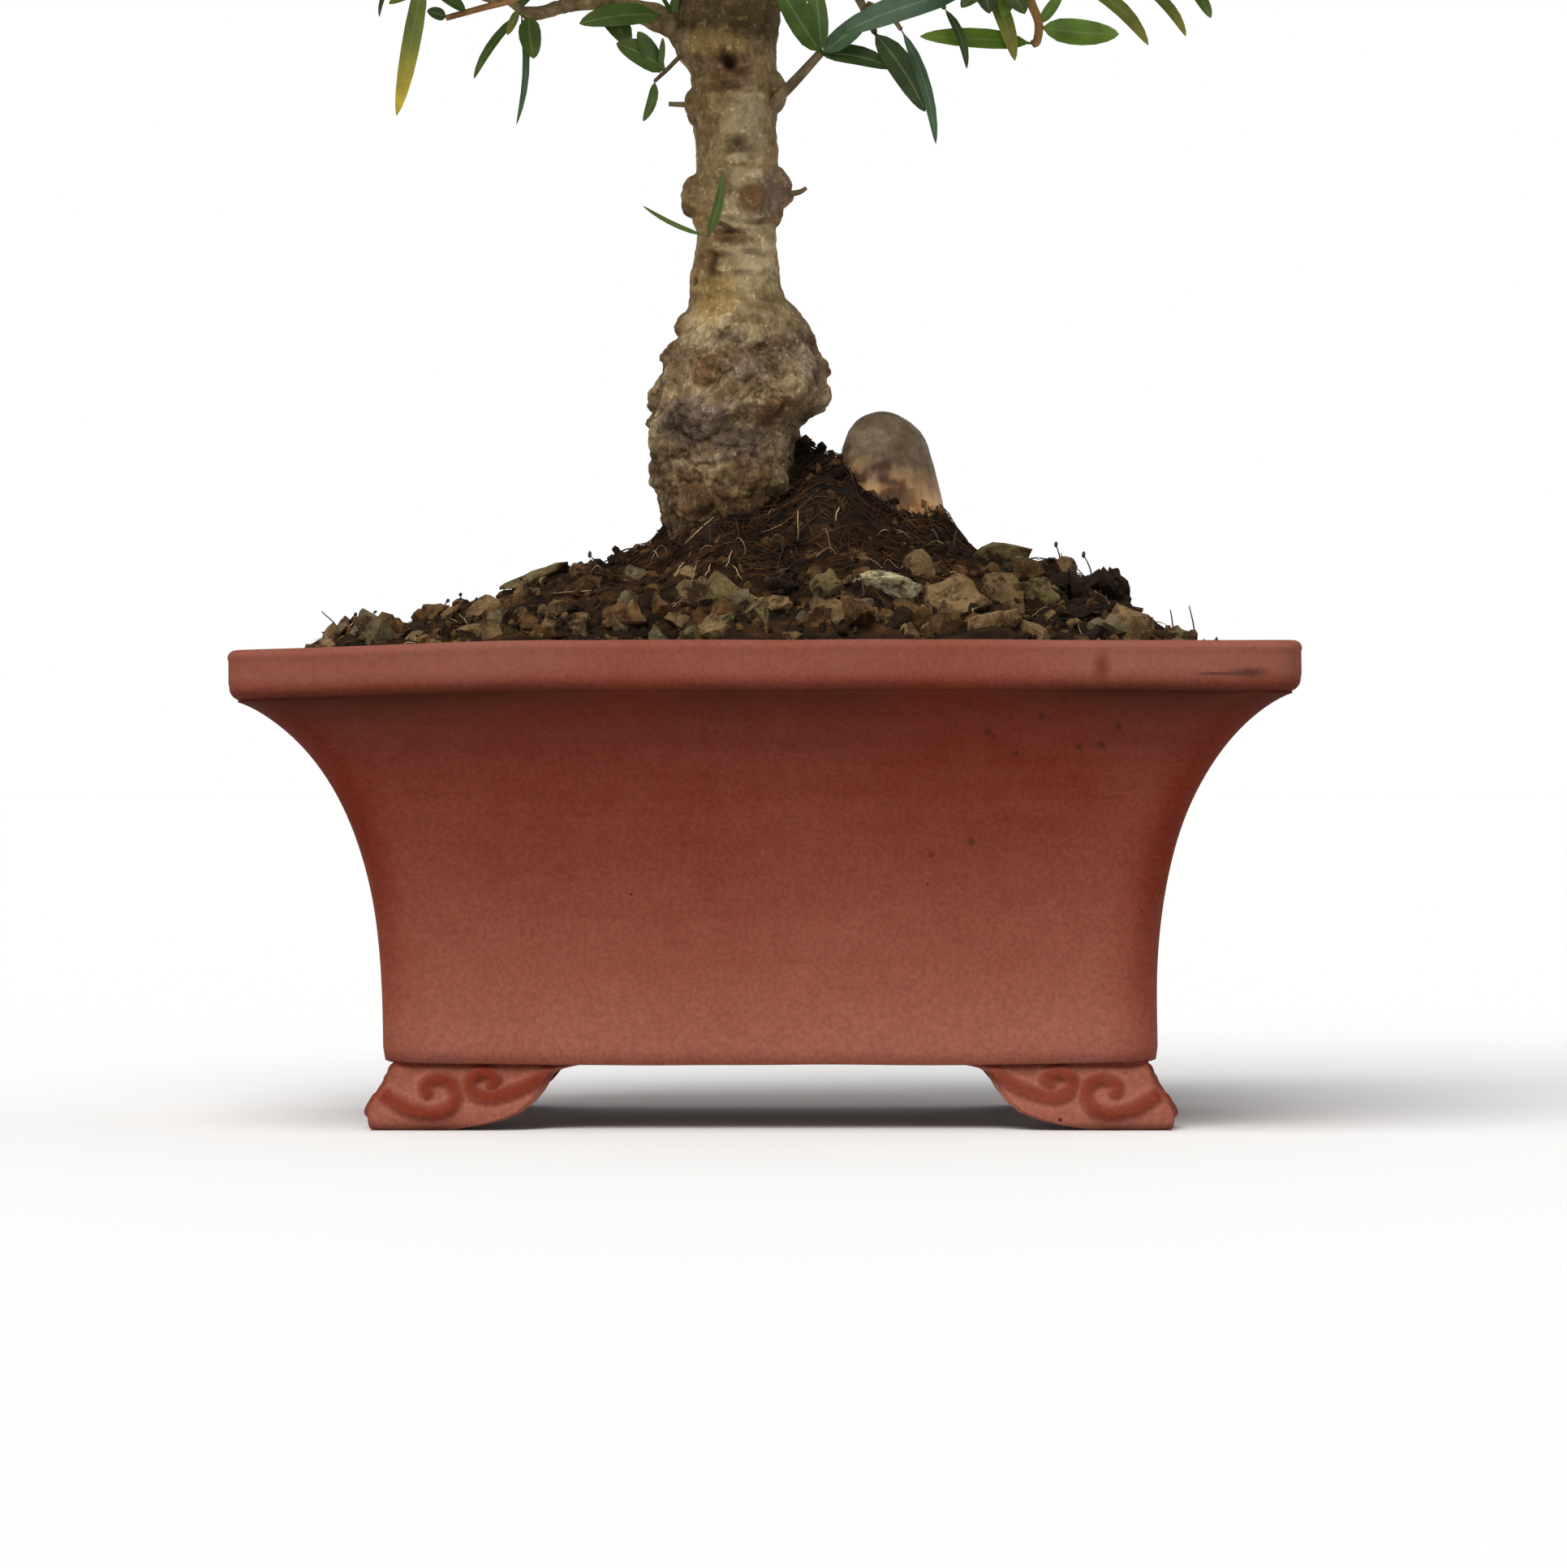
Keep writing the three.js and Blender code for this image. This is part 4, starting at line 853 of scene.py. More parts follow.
def trunkRelief(angle, z, points, radius):
    # how far the bark stands out, and masks for its colours: scars, painted shade in pits, creases and
    # wrinkles, corky skin, and high against low, which paints shade into hollows and light onto high spots
    def farFrom(height, direction, wide, tall):
        # distance from a spot on the bark, 1 at the edge of an oval
        side = np.radians(around(angle, direction)) * radius
        return np.sqrt((side / wide) ** 2 + ((z - height) / tall) ** 2)

    swell = smooth(trunk["swellTop"] + 4, trunk["swellTop"] - 8, z)
    knobs = warts(points, 6.4, 3) + 0.5 * warts(points, 2.8, 4) + 0.3 * roughness(points, 2.2, 3, 2)
    folds = roughness(points + 0.8 * knobs[:, None], 5.0, 2, 14)
    knobs += 0.14 * roughness(points, 0.9, 3, 12) - 0.5 * hump(folds, 0, 0.06)
    fine = 0.2 * roughness(points * [1, 1, 0.25], 1.8, 3, 5) + 0.1 * roughness(points, 1.1, 2, 6)
    fine += 0.16 * roughness(points * [0.3, 0.3, 1], 1.9, 3, 8)
    detail = swell * (knobs - 0.8) + (1 - 0.4 * swell) * fine
    out = (0.4 + 0.55 * swell) * roughness(points, 9, 3, 1) + detail
    scar, pit = np.zeros(len(z)), np.zeros(len(z))
    ragged, knotty = roughness(points, 2.2, 3, 11), roughness(points, 2.2, 3, 9)
    gnarled = roughness(points, 2.4, 3, 9)
    for height, direction, wide, tall, stand in trunk["knots"]:
        far = farFrom(height, direction, wide, tall) * (1 + 0.12 * ragged)
        bump = np.clip(1 - far ** 2, 0, 1) ** 0.62 * (np.abs(around(angle, direction)) < 90)
        out += bump * (stand + 0.3 * min(stand, 1.5) * knotty)
        detail += 0.5 * bump * gnarled
        scar += 0.6 * bump * min(stand, 1.0)
    for height, direction, wide, tall, dome, brown, ringed in trunk["scars"]:
        far = farFrom(height, direction, wide, tall) * (1 + 0.2 * ragged)
        patchy = ringed * smooth(-0.5, 0.4, roughness(points, 3.0, 2, height))
        ring = patchy * sum(share * hump(far, place, 0.12) for place, share in trunk["creases"])
        out += dome * smooth(1.15, 0.6, far) - 0.6 * ring + 0.5 * patchy * hump(far, 1.3, 0.12)
        inside = smooth(1.15, 0.85, far)
        out -= 0.7 * inside * detail
        detail *= 1 - 0.7 * inside
        detail += 0.5 * patchy * hump(far, 1.3, 0.14)
        scar += brown * smooth(1.25, 0.7, far)
        pit += 0.4 * ring
    for height, direction, wide, tall, depth, dark in trunk["pits"]:
        far = farFrom(height, direction, wide, tall) * (1 + 0.15 * ragged)
        out -= depth * np.exp(-far ** 2.4)
        pit += dark * np.exp(-(far * 0.9) ** 2.4)
    for height, direction, reach, depth, half in trunk["wrinkles"]:
        wave = z - height - 1.2 * roughness(points * [1, 1, 0.1], 6, 2, height)
        extent = smooth(reach, reach * 0.4, np.abs(around(angle, direction)))
        extent *= smooth(-0.5, 0.3, roughness(points, 5, 2, height + 1))
        out += depth * extent * (0.8 * hump(wave, 1.7 * half, half) - hump(wave, 0, half))
        pit += 0.36 * extent * hump(wave, 0, half)
    dice = np.random.default_rng(trunk["backSeed"])
    more = [(trunk["backKinds"][dice.integers(3)], *(dice.uniform(*ends) for ends in trunk["backRanges"]))
            for _ in range(trunk["backPatches"])]
    tones = {kind: np.zeros(len(z)) for kind in ("cream", "ochre", "mauve", "umber")}
    for kind, height, direction, wide, tall, strength in trunk["patches"] + more:
        far = farFrom(height, direction, wide, tall) + 0.45 * ragged
        tones[kind] = np.maximum(tones[kind], strength * smooth(1.2, 0.5, far))
    # painted light by relief: darker in hollows, paler on high spots
    high = np.clip(0.5 + detail * (0.9 - 0.4 * swell), 0, 1)
    return out, dict(tones, scar=np.clip(scar, 0, 1), pit=np.clip(pit, 0, 1), cork=swell, high=high)


def barkMaterial():
    # thin hard bark: dull, cream where rubbed, olive with algae, corky and grey low down, brown on scars;
    # painted glints, painted shade in hollows, pits and creases, painted light on high spots
    material, add, at = newMaterial("mottledEvergreenBark", {"Roughness": 0.86, "Specular IOR Level": 0.12})
    patch = add("TexNoise", {"Scale": 1000 / trunk["patch"], "Detail": 5.0, "Roughness": 0.6, "Vector": at})
    spread = add("Mapping", {"Scale": [1000 / size for size in trunk["blotch"]], "Location": (3.1, 1.7, 0.4),
                             "Vector": at})
    blotch = add("TexNoise", {"Scale": 1.0, "Detail": 6.0, "Roughness": 0.72, "Vector": spread})
    fleck = add("TexNoise", {"Scale": 1000 / trunk["fleck"], "Detail": 4.0, "Roughness": 0.75, "Vector": at})
    paintedGlints = add("TexNoise", {"Scale": 1000 / trunk["glintSize"], "Detail": 3.0, "Roughness": 0.8, "Vector": at})
    cork = add("Attribute", {"attribute_name": "cork"}, "Fac")
    # the relief mask: painted shade in hollows, painted light on high spots
    light = add("MapRange", {0: add("Attribute", {"attribute_name": "high"}, "Fac"), 3: 0.3, 4: 0.7})
    changes = [add("MapRange", {0: part, 3: -swing / 2, 4: swing / 2})
               for part, swing in ((patch, 0.46), (blotch, 0.44), (fleck, 0.4))]
    # pale specks: painted glints
    changes.append(add("MapRange", {0: paintedGlints, 1: 0.57, 2: 0.68, 3: 0.0, 4: 0.26}))
    for apart, amount in trunk["threads"]:
        line = add("TexNoise", {"Scale": 1000 / apart, "Detail": 2.5, "Distortion": 0.6, "Vector": at})
        off = add("Math", {"operation": "SUBTRACT", 0: line, 1: 0.5})
        off = add("Math", {"operation": "ABSOLUTE", 0: off})
        thread = add("MapRange", {0: off, 1: 0.0, 2: 0.03, 3: amount, 4: 0.0})
        changes.append(add("Math", {"operation": "MULTIPLY", 0: thread, 1: cork}))
    for change in changes:
        light = add("Math", {"operation": "ADD", 0: light, 1: change})
    colour = add("ValToRGB", {"stops": trunk["plain"], "Fac": light})
    for name, most, stops in trunk["tones"]:
        share = add("MapRange", {0: add("Attribute", {"attribute_name": name}, "Fac"), 4: most})
        tone = add("ValToRGB", {"stops": stops, "Fac": light})
        colour = add("Mix", {"data_type": "RGBA", 0: share, 6: colour, 7: tone}, 2)
    skin = add("Bump", {"Strength": 0.45, "Distance": 0.0005, "Height": fleck})
    skin = add("Bump", {"Strength": 0.5, "Distance": 0.0008, "Height": blotch, "Normal": skin})
    return paint(material, colour, skin)


def makeTrunk(material):
    heights = np.concatenate([np.linspace(*part) for part in trunk["rings"]])
    turn = np.linspace(0, 360, trunk["sectors"], endpoint=False)
    z, angle = np.repeat(heights, len(turn)), np.tile(turn, len(heights))
    middleX, middleY, radius = trunkAt(z)
    out = outward(np.radians(angle))
    skin = np.column_stack([middleX, middleY, z]) + out * radius[:, None]
    relief, tones = trunkRelief(angle, z, skin, radius)
    wavy = z + 2.5 * roughness(skin, 7, 3, 21)
    # painted shade under the crown and at the foot of the trunk
    tones["shaded"] = 0.85 * smooth(*trunk["shade"], wavy) * smooth(*trunk["shadeEnd"], z)
    tones["shaded"] += 0.5 * smooth(*trunk["footShade"], wavy)
    skin += out * (relief - trunk["sunk"])[:, None]
    faces = ringFaces(len(heights), len(turn))
    addPiece("trunkBark", skin, faces, [material], "bark", ["trunk", "bough_top"], attributes=tones)


knee = {
    "x": 25.2, "y": 1.0, "foot": 111.0, "lean": -0.085, "rings": 70, "sectors": 90,
    # half width at each depth below the top
    "profile": [
        (0.0, 0.0), (0.2, 1.6), (0.5, 2.5), (1.16, 3.95), (2.15, 5.3), (3.8, 6.8), (5.46, 7.75), (6.8, 8.3),
        (10.4, 9.1), (15.7, 9.8), (20.0, 10.2), (27.4, 10.6),
    ],
    # ramps of the plain skin and of the rubbed skin, by streaks and by patches, and the colour where it peels
    "plain": [(0.34, "#473826"), (0.5, "#5f4e39"), (0.64, "#7b6a53")],
    "streaky": [(0.38, "#9a6334"), (0.5, "#b48d5d"), (0.64, "#d2b284")],
    "patchy": [(0.4, "#9a6334"), (0.55, "#b48d5d")], "peel": "#3a2114",
    # sizes in mm of mottling, streaks and patches
    "mottle": 5.0, "streak": (1.4, 1.4, 9.0), "patch": 6.0,
    # the directions that are rubbed and that peel, and the heights between which that sets in
    "rubSide": 345, "rubFrom": (130, 120), "peelSide": 252, "peelFrom": (130.5, 127),
}


def kneeMaterial():
    # smooth root skin with a faint sheen: grey-brown above, rubbed to straw and orange near the soil
    material, add, at = newMaterial("smoothRootBark", {"Roughness": 0.62, "Specular IOR Level": 0.2})
    mottle = add("TexNoise", {"Scale": 1000 / knee["mottle"], "Detail": 6.0, "Roughness": 0.7, "Vector": at})
    stretch = add("Mapping", {"Scale": [1000 / size for size in knee["streak"]], "Vector": at})
    streak = add("TexNoise", {"Scale": 1.0, "Detail": 4.0, "Roughness": 0.6, "Vector": stretch})
    patch = add("TexNoise", {"Scale": 1000 / knee["patch"], "Detail": 4.0, "Vector": at})
    plain, streaky, patchy = (add("ValToRGB", {"stops": knee[ramp], "Fac": pattern}) for ramp, pattern in (
        ("plain", mottle), ("streaky", streak), ("patchy", patch)))
    rubbed = add("Mix", {"data_type": "RGBA", 0: 0.5, 6: streaky, 7: patchy}, 2)
    rub, peel = (add("Attribute", {"attribute_name": name}, "Fac") for name in ("rub", "peel"))
    colour = add("Mix", {"data_type": "RGBA", 0: rub, 6: plain, 7: rubbed}, 2)
    colour = add("Mix", {"data_type": "RGBA", 0: peel, 6: colour, 7: fromHex(knee["peel"])}, 2)
    return paint(material, colour, add("Bump", {"Strength": 0.3, "Distance": 0.0004, "Height": mottle}))


def makeKnee(material):
    depths, widths = np.transpose(knee["profile"])
    turn = np.radians(np.linspace(0, 360, knee["sectors"], endpoint=False))
    depth = depths[-1] * np.linspace(1, 0.02, knee["rings"]) ** 2
    rise = np.repeat(depths[-1] - depth, len(turn))
    reach = np.repeat(np.sqrt(np.interp(depth, depths, widths ** 2)), len(turn))
    way = np.tile(turn, knee["rings"])
    out = outward(way)
    flared = reach * (1 + 0.1 * smooth(9, 0, rise) * np.cos(way - 0.3))
    points = np.column_stack([knee["x"] + flared * np.cos(way) + knee["lean"] * rise,
                              knee["y"] + reach * np.sin(way), knee["foot"] + rise])
    relief = 0.4 * roughness(points, 8, 2, 1) + 0.12 * roughness(points * [1, 1, 0.25], 1.8, 2, 2)
    points += out * (relief * smooth(0, 3, reach))[:, None]
    z = points[:, 2]
    nearRub, nearPeel = (np.cos(way - math.radians(knee[side])) for side in ("rubSide", "peelSide"))
    rub = 0.95 * smooth(*knee["rubFrom"], z + 2.6 * roughness(points, 5, 3, 3) + 1.3 * nearRub)
    peel = 0.9 * smooth(-0.3, 0.2, roughness(points, 4, 3, 7)) * smooth(0.45, 0.9, nearPeel)
    peel *= smooth(*knee["peelFrom"], z + 2 * roughness(points, 3, 2, 8))
    addPiece("rootKnee", points, ringFaces(knee["rings"], len(turn)), [material], "knee_bark", ["root_knee"],
             attributes={"rub": rub, "peel": peel})


bark = barkMaterial()
makeTrunk(bark)
makeKnee(kneeMaterial())
print("trunk and knee made")


# Boughs and the growth of the crown, by the solids' own rule: limbs, then stems, side twigs and finer twigs

# name, height where it leaves the trunk, radius, middle and half sizes of its mass, droop, arch, lowest leaf
boughFields = ("name", "leaves", "radius", "middle", "half", "droop", "arch", "floor")
boughs = [dict(zip(boughFields, row)) for row in [
    ("left", 213, 2.0, (-76, -4, 241), (46, 42, 41), 11, 1, 222),
    ("right", 222, 4.6, (76, -8, 246), (46, 42, 41), 9, -2, 223),
    ("front_left", 230, 4.2, (-41, -63, 262), (42, 42, 35), 4, 3, 0),
    ("front_right", 228, 4.0, (38, -64, 266), (42, 41, 35), 4, 3, 0),
    ("back_right", 226, 4.4, (42, 63, 252), (44, 42, 38), 4, 3, 232),
    ("back_left", 234, 4.2, (-44, 63, 256), (44, 42, 38), 4, 3, 232),
    ("high_left", 244, 4.0, (-52, 8, 313), (42, 40, 37), 2, -5, 0),
    ("high_front", 243, 3.8, (4, -44, 324), (42, 38, 36), 2, -8, 0),
    ("high_right", 241, 4.0, (53, 4, 318), (42, 40, 37), 2, -5, 0),
    ("high_back", 245, 3.8, (-2, 46, 318), (42, 40, 36), 2, -8, 0),
    ("top", 262, 7.0, (-2, 2, 360), (42, 38, 32), 0, 0, 0),
]]
# the left bough shows, so its line is given point by point
leftLine = [(-8.0, 0.0, 211.0), (-18.6, -2.0, 214.2), (-24.7, -2.0, 216.6), (-31.1, -2.0, 218.2),
            (-37.4, -2.0, 218.0), (-41.7, -2.2, 216.9), (-46.0, -2.4, 215.8), (-47.6, -2.6, 216.6)]
growth = {
    "seed": 19, "wander": 0.26, "light": 0.16, "forkAngle": 58, "leafAngle": 50, "apart": 0.02, "clear": 1.2,
    "entry": 0.82, "twigReach": 0.9, "boughTip": 0.5, "boughSides": 28,
    "leafKinds": ["deep", "deep", "mid", "mid", "mid", "blue", "blue", "bright", "olive"],
}
fineTwig = {"nodes": 3, "step": 5.4, "root": 0.55, "tip": 0.4, "pull": 0.0, "side": None}
sideTwig = {"nodes": 6, "step": 6.6, "root": 0.85, "tip": 0.55, "pull": 0.0, "side": fineTwig, "fork": 0.6}
massStem = {"nodes": 8, "step": 9.0, "tip": 0.9, "pull": 0.35}
leaf = {"length": (16.0, 26.0), "slim": (0.21, 0.3), "droop": 0.16}

middles = np.array([b["middle"] for b in boughs], float)
halves = np.array([b["half"] for b in boughs], float)


def reachOf(spot):
    # how far out a spot is in each mass's space: 0 in the middle, 1 at the edge
    return np.linalg.norm((spot - middles) / halves, axis=1)


def boughLine(index):
    bough = boughs[index]
    if bough["name"] == "left":
        return curveThrough(leftLine, 6)[1:]
    x, y, _ = trunkAt(bough["leaves"])
    start = np.array([x, y, bough["leaves"]])
    ways = [start + (middles[index] - start) * s - up * bough["droop"] for s in np.linspace(0, 1, 101)]
    tip = next(w for w in ways if reachOf(w)[index] < growth["entry"])
    bend = start + (tip - start) * 0.55 + up * bough["arch"]
    t = np.linspace(0, 1, 40)[:, None]
    return (1 - t) ** 2 * start + 2 * t * (1 - t) * bend + t ** 2 * tip


def boughRadii(bough, count):
    return np.linspace(bough["radius"], bough["radius"] * growth["boughTip"], count)


limbLines = [boughLine(i) for i in range(len(boughs))]
limbSpots = np.vstack([line[::3] for line in limbLines])
limbRadii = np.concatenate([boughRadii(b, len(line))[::3] for b, line in zip(boughs, limbLines)])


def fits(spot, index, thick):
    # in its own mass, nearer to it than to any other, and clear of the trunk and the boughs
    reach = reachOf(spot)
    own = reach[index]
    if own > 1 or spot[2] < boughs[index]["floor"]:
        return False
    reach[index] = 9
    if reach.min() < own + growth["apart"] + 2 * thick / halves[index][0]:
        return False
    clear = growth["clear"] + thick
    x, y, radius = trunkAt(spot[2])
    if spot[2] < trunkLine[-1][0] and math.hypot(spot[0] - x, spot[1] - y) < radius * 1.1 + clear:
        return False
    return bool((np.linalg.norm(limbSpots - spot, axis=1) > limbRadii + clear).all())


# twigs: points and faces. Leaves: root, tip, the way the face looks, width, bow, curl, kind
plant = {"twigs": [], "leaves": []}


def growLeaf(dice, index, root, heading, kind, size):
    heading = unit(heading - up * leaf["droop"] * dice.uniform(0, 2))
    length = dice.uniform(*leaf["length"]) * size
    if not all(fits(root + heading * length * s, index, 0) for s in (0.35, 0.7, 1.0)):
        return
    flat = np.cross(np.cross(heading, up), heading) + 0.35 * dice.normal(0, 1, 3)
    width = length * dice.uniform(*leaf["slim"])
    bow, curl = dice.normal(0.02, 0.05), dice.normal(0, 0.03)
    plant["leaves"].append((root, root + heading * length, flat, width, bow, curl, kind))


def growLine(dice, index, start, heading, across, shoot, free=False):
    # the line of a shoot through its mass, and its pairs of buds, each pair across the last
    # a free one, the stem of a mass, has even steps and goes past what is in its way
    far = 2 * middles[index] - start
    line, pairs = [start], []
    for n in range(shoot["nodes"]):
        last = line[-1]
        if n > 0:
            heading = heading + growth["wander"] * dice.uniform(-1, 1, 3) + up * growth["light"]
            heading = unit(heading + shoot["pull"] * unit(far - last))
        following = last + heading * shoot["step"] * (1 if free else dice.uniform(0.85, 1.15))
        leaving = reachOf(following)[index] > max(growth["twigReach"], reachOf(last)[index])
        if free:
            stop = leaving and n > 1
        else:
            stop = leaving or not fits(following, index, shoot["root"])
        if stop:
            break
        line.append(following)
        across = unit(np.cross(heading, across))
        pairs.append((following, heading, across))
    return line, pairs


def sideWay(heading, across, hand, degrees):
    angle = math.radians(degrees)
    return heading * math.cos(angle) + across * hand * math.sin(angle)


def growShoot(dice, index, start, heading, across, shoot, kind):
    line, pairs = growLine(dice, index, start, heading, across, shoot)
    if not pairs:
        return
    path = curveThrough(line, 3)
    plant["twigs"].append(tube(path, np.linspace(shoot["root"], shoot["tip"], len(path)), 6))
    for n, (place, heading, across) in enumerate(pairs):
        last = n == len(pairs) - 1
        for hand in (1, -1):
            if shoot["side"] and not last and dice.random() < shoot["fork"]:
                way = sideWay(heading, across, hand, growth["forkAngle"])
                growShoot(dice, index, place, way, heading, shoot["side"], kind)
            else:
                way = sideWay(heading, across, hand, growth["leafAngle"] * (0.6 if last else 1))
                way = way + 0.2 * dice.normal(0, 1, 3)
                growLeaf(dice, index, place, way, kind, 0.78 if last else 1.0)


def growCrown():
    # in each mass a stem that carries on from the bough, with side twigs in pairs and one at its end
    kinds = growth["leafKinds"]
    for index, (bough, limb) in enumerate(zip(boughs, limbLines)):
        dice = np.random.default_rng(growth["seed"] + index)
        heading = unit(limb[-1] - limb[-3])
        across = unit(np.cross(heading, up) + [1e-6, 0, 0])
        line, pairs = growLine(dice, index, limb[-1] - heading * 1.5, heading, across, massStem, free=True)
        path = curveThrough(line, 4)
        root = bough["radius"] * growth["boughTip"] * 0.97
        plant["twigs"].append(tube(path, np.linspace(root, massStem["tip"], len(path)), 8))
        for place, heading, across in pairs:
            for hand in (1, -1):
                way = sideWay(heading, across, hand, growth["forkAngle"])
                growShoot(dice, index, place, way, heading, sideTwig, kinds[dice.integers(len(kinds))])
        growShoot(dice, index, *pairs[-1], sideTwig, "bright")


def makeBoughs(material):
    # the top bough is the trunk's own end
    sides = growth["boughSides"]
    parts, pit, high = [], [], []
    for bough, line in zip(boughs[:-1], limbLines):
        path = line[1:]
        far = np.linalg.norm(path - path[0], axis=1)
        outside = np.clip(far - trunkAt(path[0][2])[2], 0, None)
        radii = boughRadii(bough, len(path)) + 0.4 * bough["radius"] * hump(outside, 0, 3.2)
        points, faces = tube(path, radii, sides)
        out = unit(points - np.repeat(path, sides, 0))
        ringed = np.sin(np.repeat(far, sides) / 3.1 + 0.8 * roughness(points, 6, 1, 3))
        relief = 0.3 * roughness(points, 5, 3, 1) + 0.12 * roughness(points, 1.6, 2, 2)
        relief -= 0.16 * hump(ringed, 0, 0.16)
        parts.append((points + out * relief[:, None], faces))
        # painted shade in the ring grooves
        pit.append(0.2 * hump(ringed, 0, 0.2))
        # painted light by relief, as on the trunk
        high.append(np.clip(0.5 + relief, 0, 1))
    points, faces = joined(parts)
    layers = {"pit": np.concatenate(pit), "high": np.concatenate(high), "shaded": np.full(len(points), 0.3)}
    addPiece("boughBark", points, faces, [material], "bark", ["bough_" + b["name"] for b in boughs[:-1]],
             attributes=layers)


growCrown()
makeBoughs(bark)
print("crown grown:", len(plant["leaves"]), "leaves on", len(plant["twigs"]), "twigs")


# Low sprays: the twigs and leaves that hang below the crown at its front, where they show best

